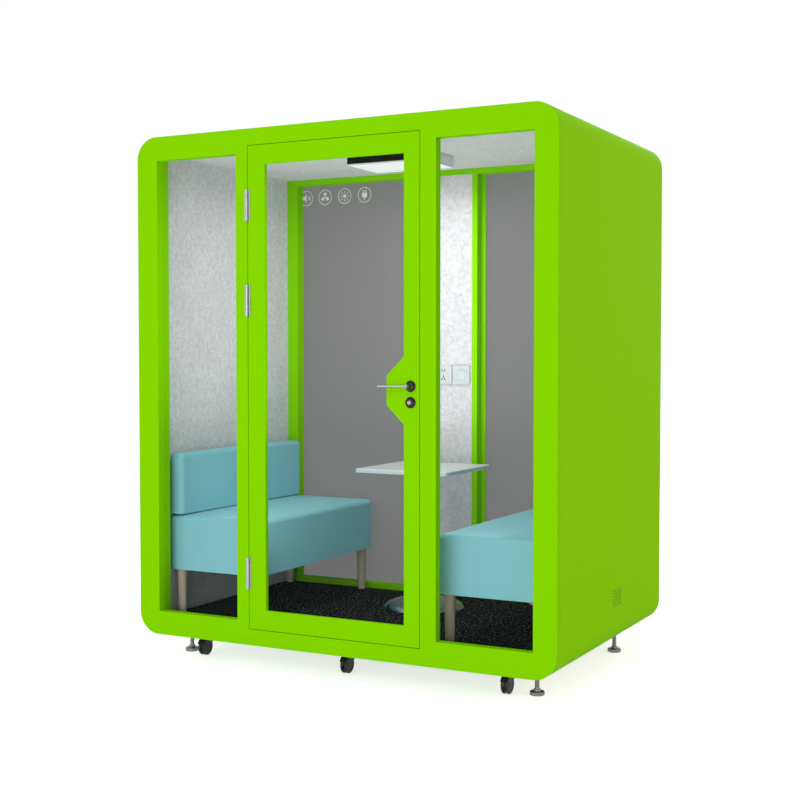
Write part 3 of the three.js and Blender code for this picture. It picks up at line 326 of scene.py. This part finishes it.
dress("shell", 0.8, "left_side_shell", "right_side_shell", "roof_panel", "front_frame",
      "rear_panel", "door_leaf")
dress("shell", 0.15, "strike_block", "base_frame")
dress("inside", 0.8, "back_frame", "door_stop")
dress("felt", 1.5, "left_wall_felt", "right_wall_felt", "back_felt_panel")
dress("ceiling", 1.5, "ceiling_felt")
dress("carpet", 1.5, "carpet")
dress("glass", 0.5, "left_window_pane", "right_window_pane", "door_pane")
dress("grey_pane", 0.5, "back_pane")
dress("hinge", 0.3, *(f"hinge_{place}_{half}_leaf" for place in HINGES for half in ("frame", "door")))
dress("lock", 0.4, "lock_case")
dress("polished", 0.5, "lever_handles", "thumb_turn", "latch_bolt", "dead_bolt")
dress("lamp_box", 0.8, "lamp_housing")
dress("diffuser", 0.5, "lamp_diffuser")
dress("fan", 0.4, "fan_rotor")
dress("plate", 0.8, "socket_plate", "switch_plate", "switch_button")
dress("laminate", 0.4, "table_top")
dress("pedestal", 0.6, "table_pedestal")
dress("timber", 1.2, "left_bench_base", "right_bench_base")
dress("caster", 0.15, *(f"caster_{place}_yoke" for place in CASTERS))
dress("foot", 0.6, *(f"levelling_foot_{place}" for place in FEET))


# Helpers for new pieces

# The turn that takes Z onto each axis
TURNS = {
    "X": Matrix.Rotation(math.pi / 2, 4, "Y"),
    "Y": Matrix.Rotation(-math.pi / 2, 4, "X"),
    "Z": Matrix.Identity(4),
}
BOX_FACES = ((0, 1, 3, 2), (4, 6, 7, 5), (0, 4, 5, 1), (2, 3, 7, 6), (0, 2, 6, 4), (1, 5, 7, 3))


def piece(name, mesh, look, body, smooth=True, bevel=0.0):
    """Puts a bmesh into the scene as a named piece that rides on a body."""
    bmesh.ops.recalc_face_normals(mesh, faces=mesh.faces)
    data = bpy.data.meshes.new(name)
    mesh.to_mesh(data)
    mesh.free()
    data.materials.append(LOOKS[look])
    for polygon in data.polygons:
        polygon.use_smooth = smooth
    obj = bpy.data.objects.new(name, data)
    scene.collection.objects.link(obj)
    if bevel:
        soften(obj, bevel)
    if smooth:
        obj.modifiers.new("even_normals", "WEIGHTED_NORMAL")
    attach(obj, body)
    return obj


def add_box(mesh, low, high):
    corners = [(x, y, z) for x in (low[0], high[0]) for y in (low[1], high[1])
               for z in (low[2], high[2])]
    v = [mesh.verts.new(corner) for corner in corners]
    for face in BOX_FACES:
        mesh.faces.new([v[corner] for corner in face])


def circle(radius, sides):
    return [(radius * math.cos(2 * math.pi * i / sides), radius * math.sin(2 * math.pi * i / sides))
            for i in range(sides)]


def turned_ring(mesh, points, height, place, axis):
    """Vertices of flat points at this height above the place, turned from Z onto the axis."""
    return [mesh.verts.new(Vector(place) + TURNS[axis] @ Vector((x, y, height))) for x, y in points]


def bridge(mesh, loops):
    """Faces from each loop to the next, and from the last one back to the first."""
    for low, high in zip(loops, loops[1:] + loops[:1]):
        for i in range(len(low)):
            j = (i + 1) % len(low)
            mesh.faces.new((low[i], low[j], high[j], high[i]))


def add_turned(mesh, profile, place, axis="Z", sides=32):
    """A profile of radius and height turned about an axis; its ends may lie on the axis."""
    rings = [turned_ring(mesh, circle(radius, sides) if radius > 0 else [(0, 0)], height, place, axis)
             for radius, height in profile]
    for low, high in zip(rings, rings[1:]):
        for i in range(sides):
            j = (i + 1) % sides
            corners = [low[i % len(low)], low[j % len(low)], high[j % len(high)], high[i % len(high)]]
            corners = list(dict.fromkeys(corners))
            if len(corners) > 2:
                mesh.faces.new(corners)
    for ring in (rings[0], rings[-1]):
        if len(ring) > 2:
            mesh.faces.new(ring)


def add_loop(mesh, profile, place, axis="Z", sides=32):
    """A closed profile of radius and height, turned into a ring."""
    bridge(mesh, [turned_ring(mesh, circle(radius, sides), height, place, axis)
                  for radius, height in profile])


def add_plate(mesh, outline, centre, thickness):
    """A flat outline in X and Z, with its back at the centre's Y and this thickness towards -Y."""
    loops = []
    for y in (0, -thickness):
        loops.append([mesh.verts.new(Vector(centre) + Vector((x, y, z))) for x, z in outline])
    back, front = loops
    mesh.faces.new(back)
    mesh.faces.new(front)
    for i in range(len(outline)):
        j = (i + 1) % len(outline)
        mesh.faces.new((back[i], back[j], front[j], front[i]))


def middle(node):
    low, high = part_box(node)
    return (low + high) / 2


# Upholstery: crowned blocks whose cover a cloth simulation lets swell a little

cushion_round = 23 * MM
cushion_shrink = 1.5 * MM
cushion_grid = 14 * MM
cushion_gap = 0.8 * MM
corner_angles = (9, 18, 27, 36, 45)

# The cloth that swells: its settings, how long it runs, where it is held and how far it may move
COVER = {
    "quality": 4,
    "mass": 0.4,
    "tension_stiffness": 40,
    "compression_stiffness": 40,
    "bending_stiffness": 6,
    "use_pressure": True,
    "uniform_pressure_force": 1.2,
}
cover_frames = 16
cover_held_height = 20 * MM
cover_limit = 2.5 * MM


def grid_lines(half, rounded_foot):
    """Grid positions along one axis: even over the core, closer together round the corners."""
    core = half - cushion_round
    turn = [math.tan(math.radians(angle)) * cushion_round for angle in corner_angles]
    start = -core if rounded_foot else -half
    count = max(2, round((core - start) / cushion_grid))
    foot = [-core - t for t in reversed(turn)] if rounded_foot else []
    even = [start + (core - start) * i / count for i in range(count + 1)]
    return foot + even + [core + t for t in turn]


def upholstered_block(low, high, crown, waist):
    """A closed block: rounded upper edges and corners, crowned on top, drawn in at its waist."""
    half = (high - low) / 2
    centre = (low + high) / 2
    lines = [grid_lines(half.x, True), grid_lines(half.y, True), grid_lines(half.z, False)]
    mesh = bmesh.new()
    made = {}

    def vertex(index):
        if index in made:
            return made[index]
        at = Vector([lines[axis][index[axis]] for axis in range(3)])
        inside = Vector((
            min(max(at.x, cushion_round - half.x), half.x - cushion_round),
            min(max(at.y, cushion_round - half.y), half.y - cushion_round),
            min(at.z, half.z - cushion_round)))
        if (at - inside).length > 0:
            at = inside + (at - inside).normalized() * cushion_round
        across, along, up = at.x / half.x, at.y / half.y, at.z / half.z
        at.z -= crown * max(0, up) * (1 - (1 - across ** 4) * (1 - along ** 4))
        draw = waist * (1 - up ** 2)
        at.x -= draw * across ** 3 * (1 - along ** 8)
        at.y -= draw * along ** 3 * (1 - across ** 8)
        made[index] = mesh.verts.new(centre + at)
        return made[index]

    last = [len(line) - 1 for line in lines]
    for axis in range(3):
        a, b = [other for other in range(3) if other != axis]
        for end in (0, last[axis]):
            for i in range(last[a]):
                for j in range(last[b]):
                    corners = []
                    for da, db in ((0, 0), (1, 0), (1, 1), (0, 1)):
                        index = [0, 0, 0]
                        index[axis], index[a], index[b] = end, i + da, j + db
                        corners.append(vertex(tuple(index)))
                    mesh.faces.new(corners)
    return mesh


def swell(obj, held_below):
    """Lets the cover swell under pressure, then caps how far each point has moved."""
    rest = [vertex.co.copy() for vertex in obj.data.vertices]
    held = obj.vertex_groups.new(name="held")
    held.add([v.index for v in obj.data.vertices if v.co.z < held_below], 1.0, "REPLACE")
    cover = obj.modifiers.new("cover", "CLOTH")
    for setting, value in COVER.items():
        setattr(cover.settings, setting, value)
    cover.settings.vertex_group_mass = held.name
    cover.settings.effector_weights.gravity = 0
    for number in range(1, cover_frames + 1):
        scene.frame_set(number)
    shown = obj.evaluated_get(bpy.context.evaluated_depsgraph_get())
    moved = [vertex.co.copy() for vertex in shown.to_mesh().vertices]
    shown.to_mesh_clear()
    obj.modifiers.remove(cover)
    obj.vertex_groups.clear()
    scene.frame_set(1)
    for vertex, start, end in zip(obj.data.vertices, rest, moved):
        shift = end - start
        vertex.co = start + shift * min(1, cover_limit / max(shift.length, 1e-9))


def upholster(side, part, crown, waist):
    """A cushion's cover, in place of the plain cushion."""
    node = f"{side}_{part}_cushion"
    low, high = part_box(node)
    if part == "back":
        low.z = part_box(f"{side}_seat_cushion")[1].z + cushion_gap
    inset = Vector((cushion_shrink, cushion_shrink, 0))
    top_inset = Vector((0, 0, cushion_shrink))
    mesh = upholstered_block(low + inset, high - inset - top_inset, crown, waist)
    obj = piece(f"{side}_{part}_upholstery", mesh, "fabric", "pod")
    obj.modifiers.clear()
    swell(obj, low.z + cover_held_height)
    finer = obj.modifiers.new("finer", "SUBSURF")
    finer.levels = 1
    finer.render_levels = 1
    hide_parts(node)


for side in ("left", "right"):
    upholster(side, "seat", 6 * MM, 3 * MM)
    upholster(side, "back", 3 * MM, 2.5 * MM)


# Casters: smooth twin wheels with a tread and a hub, on one axle

wheel_half_gap = 4.4 * MM
wheel_step = 1.2 * MM
axle_radius = 4 * MM
axle_overlap = 1 * MM


def caster_wheels(place):
    node = f"caster_{place}_wheels"
    low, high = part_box(node)
    centre = middle(node)
    radius = (high.z - low.z) / 2
    width = (high.x - low.x) / 2 - wheel_half_gap
    profile = [
        # inner face and the step to the tread
        (0, 0), (radius * 0.8, 0), (radius * 0.84, wheel_step), (radius - wheel_step, wheel_step),
        # tread
        (radius, 2 * wheel_step), (radius, width - 4 * MM), (radius - wheel_step, width - 1.6 * MM),
        # outer face, hollowed between rim and hub
        (radius - 4 * MM, width), (radius * 0.72, width), (radius * 0.7, width - 1.4 * MM),
        (radius * 0.32, width - 2 * MM), (radius * 0.3, width - 0.4 * MM), (0, width - 0.4 * MM)]
    mesh = bmesh.new()
    for side in (-1, 1):
        add_turned(mesh, [(r, side * h) for r, h in profile],
                   centre + Vector((side * wheel_half_gap, 0, 0)), "X", 40)
    axle_end = wheel_half_gap + axle_overlap
    add_turned(mesh, [(axle_radius, -axle_end), (axle_radius, axle_end)], centre, "X", 16)
    wheels = piece(f"caster_{place}_wheel_pair_smooth", mesh, "caster",
                   f"caster_{place}_wheel_pair", bevel=0.4)
    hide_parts(node)


for place in CASTERS:
    caster_wheels(place)


# Levelling feet: a hexagon over the pad, and the thread of the stud

pad_height = 16 * MM
stud_radius = 9 * MM
thread_pitch = 2.5 * MM
thread_depth = 0.35 * MM
thread_root = 0.2 * MM
thread_sides = 20
thread_above_pad = 15 * MM
thread_into_base = 4 * MM
nut_height = 10 * MM
nut_radius = 15 * MM
nut_chamfer = 1.2 * MM
nut_clearance = 0.2 * MM


def foot_nut(centre):
    mesh = bmesh.new()
    add_turned(mesh, [
        (nut_radius - nut_chamfer, pad_height + nut_clearance), (nut_radius, pad_height + nut_chamfer),
        (nut_radius, pad_height + nut_height - nut_chamfer),
        (nut_radius - nut_chamfer, pad_height + nut_height),
    ], centre, "Z", 6)
    return mesh


def foot_thread(centre):
    """A three-sided ridge that winds up the stud."""
    mesh = bmesh.new()
    start = pad_height + thread_above_pad
    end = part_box("base_frame")[0].z + thread_into_base
    turns = (end - start) / thread_pitch
    section = ((stud_radius - thread_root, -thread_pitch / 3), (stud_radius + thread_depth, 0),
               (stud_radius - thread_root, thread_pitch / 3))
    strips = []
    for i in range(round(turns * thread_sides) + 1):
        angle = 2 * math.pi * i / thread_sides
        height = start + thread_pitch * i / thread_sides
        out = Vector((math.cos(angle), math.sin(angle), 0))
        strips.append([mesh.verts.new(centre + out * radius + Vector((0, 0, height + rise)))
                       for radius, rise in section])
    for a, b in zip(strips, strips[1:]):
        for k in range(3):
            mesh.faces.new((a[k], b[k], b[(k + 1) % 3], a[(k + 1) % 3]))
    mesh.faces.new(strips[0])
    mesh.faces.new(strips[-1])
    return mesh


def foot_details(place):
    body = f"levelling_foot_{place}"
    centre = middle(body)
    centre.z = 0
    piece(f"{body}_nut", foot_nut(centre), "foot", body, smooth=False, bevel=0.3)
    piece(f"{body}_thread", foot_thread(centre), "foot", body)


for place in FEET:
    foot_details(place)


# Hinges: three countersunk screws in each leaf

screw_radius = 2.3 * MM
screw_from_edge = 3.8 * MM
screw_heights = (0.14, 0.5, 0.86)
screw_sunk = 0.4 * MM
screw_proud = 0.35 * MM
screw_rim = 0.1 * MM
hinge_plate = 2.5 * MM


def hinge_screws(place, half, body):
    low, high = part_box(f"hinge_{place}_{half}_leaf")
    edge = low.x + screw_from_edge if half == "frame" else high.x - screw_from_edge
    profile = [(screw_radius, screw_sunk), (screw_radius, -screw_rim), (screw_radius * 0.8, -screw_proud),
               (screw_radius * 0.35, -screw_proud), (screw_radius * 0.3, screw_rim), (0, screw_rim)]
    mesh = bmesh.new()
    for share in screw_heights:
        add_turned(mesh, profile, (edge, high.y - hinge_plate, low.z + (high.z - low.z) * share), "Y", 16)
    piece(f"hinge_{place}_{half}_screws", mesh, "screw", body)


for place in HINGES:
    hinge_screws(place, "frame", "pod")
    hinge_screws(place, "door", "door")


# Door gasket: a soft strip on the stop that the leaf presses

stop_flange = 4.3 * MM
gasket_inset = 3 * MM
gasket_width = 9 * MM
gasket_slope = 1.5 * MM
gasket_proud = 0.7 * MM
gasket_sunk = 0.1 * MM


def door_gasket():
    low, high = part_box("door_stop")
    mesh = bmesh.new()
    loops = []
    for y, inset in ((low.y + gasket_sunk, 0), (low.y - gasket_proud, gasket_slope),
                     (low.y - gasket_proud, gasket_width - gasket_slope),
                     (low.y + gasket_sunk, gasket_width)):
        edge = stop_flange + gasket_inset + inset
        x0, x1, z0, z1 = low.x + edge, high.x - edge, low.z + edge, high.z - edge
        loops.append([mesh.verts.new((x, y, z)) for x, z in ((x0, z0), (x1, z0), (x1, z1), (x0, z1))])
    bridge(mesh, loops)
    piece("door_gasket", mesh, "rubber", "pod", smooth=False)


door_gasket()


# Lamp: a black front plate over the white line of the diffuser

front_inset = 0.5 * MM
front_lift = 6 * MM
front_proud = 0.8 * MM
front_sunk = 0.2 * MM


def lamp_front():
    low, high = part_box("lamp_housing")
    mesh = bmesh.new()
    add_box(mesh, (low.x + front_inset, low.y - front_proud, low.z + front_lift),
            (high.x - front_inset, low.y + front_sunk, high.z))
    piece("lamp_front_panel", mesh, "lamp_front", "pod", smooth=False, bevel=0.3)


lamp_front()


# Painted shade in the socket's slots, as dark plates on its face, and the lit ring of the switch

# Each slot shadow's place on the plate and its slant: x and z in millimetres, degrees
SLOT_SHADOWS = ((-7.5, 19, 0), (7.5, 19, 0), (-7.5, -22, 30), (7.5, -22, -30), (0, -10, 0))
slot_shadow_half_width = 2.4 * MM
slot_shadow_half_height = 5.6 * MM
slot_shadow_sunk = 0.1 * MM
trim_proud = 0.3 * MM
ring_outer_inset = 0.6 * MM
ring_inner_inset = 3.2 * MM
ring_sunk = 0.2 * MM


def socket_details():
    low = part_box("socket_plate")[0]
    centre = middle("socket_plate")
    mesh = bmesh.new()
    for x, z, degrees in SLOT_SHADOWS:
        turn = math.radians(degrees)
        across = Vector((math.cos(turn), -math.sin(turn))) * slot_shadow_half_width
        along = Vector((math.sin(turn), math.cos(turn))) * slot_shadow_half_height
        outline = [tuple(across * a + along * b) for a, b in ((-1, -1), (1, -1), (1, 1), (-1, 1))]
        add_plate(mesh, outline, (centre.x + x * MM, low.y + slot_shadow_sunk, centre.z + z * MM), trim_proud)
    piece("socket_slot_shadows", mesh, "plate_dark", "pod", smooth=False)


def switch_ring():
    low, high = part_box("switch_button")
    centre = middle("switch_button")
    radius = (high.x - low.x) / 2
    outer, inner = radius - ring_outer_inset, radius - ring_inner_inset
    mesh = bmesh.new()
    add_loop(mesh, [(outer, ring_sunk), (outer, -trim_proud), (inner, -trim_proud), (inner, ring_sunk)],
             (centre.x, low.y, centre.z), "Y", 48)
    piece("switch_ring", mesh, "ring_light", "light_switch", smooth=False)


socket_details()
switch_ring()


# Four round signs on the left back pane: quiet, ventilated, lit and powered

sign_radius = 39 * MM
sign_line = 3.2 * MM
drawing_scale = 1.65
sign_places = (-853, -741, -625, -509)
sign_height = 2154 * MM
sign_thickness = 0.3 * MM
sign_sunk = 0.05 * MM
bar_width = 2.3 * MM
prong_width = 3 * MM


def bar(x0, z0, x1, z1, width=bar_width):
    """The outline of a straight bar between two points."""
    along = Vector((x1 - x0, z1 - z0)).normalized() * width / 2
    side = Vector((-along.y, along.x))
    ends = (Vector((x0, z0)), Vector((x1, z1)))
    return [tuple(ends[0] - side), tuple(ends[1] - side), tuple(ends[1] + side), tuple(ends[0] + side)]


def quiet_sign():
    speaker = [(-14, -5), (-8, -5), (0, -13), (0, 13), (-8, 5), (-14, 5)]
    return [[(x * MM, z * MM) for x, z in speaker],
            bar(5 * MM, -6 * MM, 15 * MM, 6 * MM), bar(5 * MM, 6 * MM, 15 * MM, -6 * MM)]


def fan_sign():
    shapes = [circle(3.4 * MM, 16)]
    for i in range(3):
        turn = math.radians(90 + 120 * i)
        blade = [(4.5 + 11.5 * k / 8, 6.2 * math.sin(math.pi * (k / 8) ** 0.7) * side)
                 for side, order in ((1, range(9)), (-1, range(7, 0, -1))) for k in order]
        shapes.append([((x * math.cos(turn) - z * math.sin(turn)) * MM,
                        (x * math.sin(turn) + z * math.cos(turn)) * MM) for x, z in blade])
    return shapes


def sun_sign():
    shapes = [circle(5.5 * MM, 24)]
    for i in range(8):
        turn = math.radians(45 * i)
        x, z = math.cos(turn), math.sin(turn)
        shapes.append(bar(x * 9 * MM, z * 9 * MM, x * 16 * MM, z * 16 * MM))
    return shapes


def plug_sign():
    body = [(-9, -5), (-5, -9), (5, -9), (9, -5), (9, 6), (-9, 6)]
    return [[(x * MM, z * MM) for x, z in body],
            bar(-4.5 * MM, 6 * MM, -4.5 * MM, 15 * MM, prong_width),
            bar(4.5 * MM, 6 * MM, 4.5 * MM, 15 * MM, prong_width),
            bar(0, -9 * MM, 0, -17 * MM)]


def signs():
    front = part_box("back_pane")[0].y
    inner = sign_radius - sign_line
    drawings = (quiet_sign, fan_sign, sun_sign, plug_sign)
    for name, x, drawing in zip(("quiet", "fan", "sun", "plug"), sign_places, drawings):
        centre = Vector((x * MM, front + sign_sunk, sign_height))
        mesh = bmesh.new()
        add_loop(mesh, [(sign_radius, 0), (sign_radius, -sign_thickness), (inner, -sign_thickness),
                        (inner, 0)], centre, "Y", 48)
        for outline in drawing():
            scaled = [(across * drawing_scale, up * drawing_scale) for across, up in outline]
            add_plate(mesh, scaled, centre, sign_thickness)
        piece(f"sign_{name}", mesh, "sign", "pod", smooth=False)


signs()


# Painted shade in the side grille: dark plates just inside its slots stand for the shade there

grille_columns = 4
grille_rows = 6
grille_start = Vector((0, 665, 281)) * MM
grille_pitch = Vector((0, 28.1, 12.4)) * MM
grille_slot = Vector((0.4, 14.4, 5.8)) * MM
slot_shade_margin = 0.2 * MM
slot_shade_depth = 0.2 * MM


def grille_slot_shade():
    outer_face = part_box("right_side_shell")[1].x
    corner = Vector((outer_face - slot_shade_depth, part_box("front_frame")[0].y, 0))
    margin = Vector((grille_slot.x, slot_shade_margin, slot_shade_margin))
    mesh = bmesh.new()
    for column in range(grille_columns):
        for row in range(grille_rows):
            low = corner + grille_start + Vector((0, grille_pitch.y * column, grille_pitch.z * row))
            low -= margin
            add_box(mesh, low, low + grille_slot)
    piece("grille_slot_shade", mesh, "rubber", "pod", smooth=False)


grille_slot_shade()


# Table edge band and glides under the bench legs

table_corner = 15 * MM
corner_steps = 8
band_proud = 0.25 * MM
band_sunk = 1 * MM
band_root = 2 * MM
band_edge = 2.2 * MM


def table_band():
    low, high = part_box("table_top")
    x0, x1 = low.x + table_corner, high.x - table_corner
    y0, y1 = low.y + table_corner, high.y - table_corner
    outline = []
    for x, y, start in ((x1, y1, 0), (x0, y1, 90), (x0, y0, 180), (x1, y0, 270)):
        for i in range(corner_steps + 1):
            angle = math.radians(start + 90 * i / corner_steps)
            outline.append((x, y, math.cos(angle), math.sin(angle)))
    inner, outer = table_corner - band_sunk, table_corner + band_proud
    mesh = bmesh.new()
    bridge(mesh, [
        [mesh.verts.new((x + c * out, y + s * out, z)) for x, y, c, s in outline]
        for out, z in ((inner, low.z + band_root), (outer, low.z + band_edge),
                       (outer, high.z - band_edge), (inner, high.z - band_root))])
    piece("table_edge_band", mesh, "table_edge", "pod", smooth=False)


table_band()

# Legs stand this far in from the ends of the bench's board, which is itself set in from its box
leg_from_side = 38 * MM
leg_from_end = 50 * MM
board_inset = 12 * MM
glide_profile = ((17, 0), (18.9, 0.2), (19, 4), (17.5, 4.4))


def leg_glides(side):
    low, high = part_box(f"{side}_bench_base")
    across, along = leg_from_side - board_inset, leg_from_end - board_inset
    profile = [(radius * MM, height * MM) for radius, height in glide_profile]
    mesh = bmesh.new()
    for x in (low.x + across, high.x - across):
        for y in (low.y + along, high.y - along):
            add_loop(mesh, profile, (x, y, low.z))
    piece(f"{side}_bench_glides", mesh, "rubber", "pod")


leg_glides("left")
leg_glides("right")


# Studio: lamps, world and floor


def area_lamp(name, place, target, width, height, power, colour=(1, 1, 1)):
    data = bpy.data.lights.new(name, "AREA")
    data.shape = "RECTANGLE"
    data.size = width
    data.size_y = height
    data.energy = power
    data.color = colour
    lamp = bpy.data.objects.new(name, data)
    lamp.location = place
    lamp.rotation_euler = (Vector(target) - Vector(place)).to_track_quat("-Z", "Y").to_euler()
    lamp.visible_camera = False
    scene.collection.objects.link(lamp)
    return lamp


# Name, place, target, width, height, power and colour
STUDIO_LAMPS = (
    ("key", (-1.2, -7.0, 3.4), (0, -0.6, 1.2), 4, 4, 130, (1, 1, 1)),
    ("front_low", (0.6, -6.0, 0.7), (0, 0, 0.9), 4, 1, 74, (1, 1, 1)),
    ("right_fill", (7.0, 0.4, 2.6), (1.0, 0, 1.2), 4, 4, 152, (1.0, 0.6, 0.48)),
    ("top_fill", (0, 0.2, 6.4), (0, 0, 2.3), 4, 4, 70, (1, 1, 1)),
    ("left_fill", (-7.0, 0.6, 2.6), (-1.0, 0, 1.2), 4, 4, 90, (1, 1, 1)),
    ("back_fill", (0.5, 7.0, 3.0), (0, 0.6, 1.2), 4, 4, 100, (1, 1, 1)),
)
# Inside the pod, and out of its reflections
CABIN_LAMPS = (
    ("cabin_bounce", (0, -0.2, 0.95), (0, -0.2, 2.2), 0.9, 0.6, 5.4),
    ("cabin_top", (0, -0.1, 2.14), (0, -0.1, 0), 1.3, 0.7, 3.6),
    ("cabin_front", (0, -0.5, 0.75), (0, 0.5, 0.75), 1.4, 0.5, 1.4),
)
ceiling_lamp_gap = 10 * MM

for lamp in STUDIO_LAMPS:
    area_lamp(*lamp)
diffuser = middle("lamp_diffuser")
ceiling_lamp_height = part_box("lamp_diffuser")[0].z - ceiling_lamp_gap
area_lamp("ceiling_lamp", (diffuser.x, diffuser.y, ceiling_lamp_height), (diffuser.x, diffuser.y, 0),
          0.36, 0.25, 3.6, (1, 0.96, 0.97))
for lamp in CABIN_LAMPS:
    area_lamp(*lamp).visible_glossy = False

world = bpy.data.worlds.new("studio")
scene.world = world
world.use_nodes = True


# The kinds of ray that see the background and the floor as white
WHITE_RAYS = ("Is Camera Ray", "Is Glossy Ray", "Is Transmission Ray")
world_strength = 0.43
floor_reach = 60
floor_glow = 0.7
floor_shade = 0.8
floor_drop = 0.5 * MM


def sees_white(tree):
    """One on every ray of WHITE_RAYS, otherwise zero."""
    light_path = tree.nodes.new("ShaderNodeLightPath")
    found = light_path.outputs[WHITE_RAYS[0]]
    for name in WHITE_RAYS[1:]:
        larger = tree.nodes.new("ShaderNodeMath")
        larger.operation = "MAXIMUM"
        tree.links.new(found, larger.inputs[0])
        tree.links.new(light_path.outputs[name], larger.inputs[1])
        found = larger.outputs[0]
    return found


def white_world(strength):
    tree = world.node_tree
    tree.nodes.clear()
    output = tree.nodes.new("ShaderNodeOutputWorld")
    chosen = tree.nodes.new("ShaderNodeMixShader")
    tree.links.new(sees_white(tree), chosen.inputs[0])
    for index, level in ((1, strength), (2, 1.0)):
        background = tree.nodes.new("ShaderNodeBackground")
        background.inputs["Color"].default_value = grey(1.0)
        background.inputs["Strength"].default_value = level
        tree.links.new(background.outputs[0], chosen.inputs[index])
    tree.links.new(chosen.outputs[0], output.inputs["Surface"])


def studio_floor(reach, glow):
    """A pale floor that reaches white for the camera and still takes the pod's shadow."""
    mesh = bmesh.new()
    mesh.faces.new([mesh.verts.new((x, y, -floor_drop)) for x, y in (
        (-reach, -reach), (reach, -reach), (reach, reach), (-reach, reach))])
    data = bpy.data.meshes.new("studio_floor")
    mesh.to_mesh(data)
    mesh.free()
    floor = bpy.data.objects.new("studio_floor", data)
    scene.collection.objects.link(floor)
    look = bpy.data.materials.new("studio_floor")
    look.use_nodes = True
    tree = look.node_tree
    tree.nodes.clear()
    output = tree.nodes.new("ShaderNodeOutputMaterial")
    matte = tree.nodes.new("ShaderNodeBsdfDiffuse")
    matte.inputs["Color"].default_value = grey(floor_shade)
    level = tree.nodes.new("ShaderNodeMath")
    level.operation = "MULTIPLY"
    level.inputs[1].default_value = glow
    tree.links.new(sees_white(tree), level.inputs[0])
    emission = tree.nodes.new("ShaderNodeEmission")
    tree.links.new(level.outputs[0], emission.inputs["Strength"])
    both = tree.nodes.new("ShaderNodeAddShader")
    tree.links.new(matte.outputs[0], both.inputs[0])
    tree.links.new(emission.outputs[0], both.inputs[1])
    tree.links.new(both.outputs[0], output.inputs["Surface"])
    data.materials.append(look)


white_world(world_strength)
studio_floor(floor_reach, floor_glow)


# Camera at the photograph's place, as fitted to its outline

camera_down = 2.04
camera_round = 27.69

camera_data = bpy.data.cameras.new("photo_camera")
camera_data.sensor_width = 36
camera_data.lens = 59.228
camera_data.clip_end = 200
camera = bpy.data.objects.new("photo_camera", camera_data)
camera.location = (2.7623, -5.29245, 1.3528)
camera.rotation_euler = (math.radians(90 - camera_down), 0, math.radians(camera_round))
scene.collection.objects.link(camera)
scene.camera = camera
scene.view_settings.view_transform = "Standard"
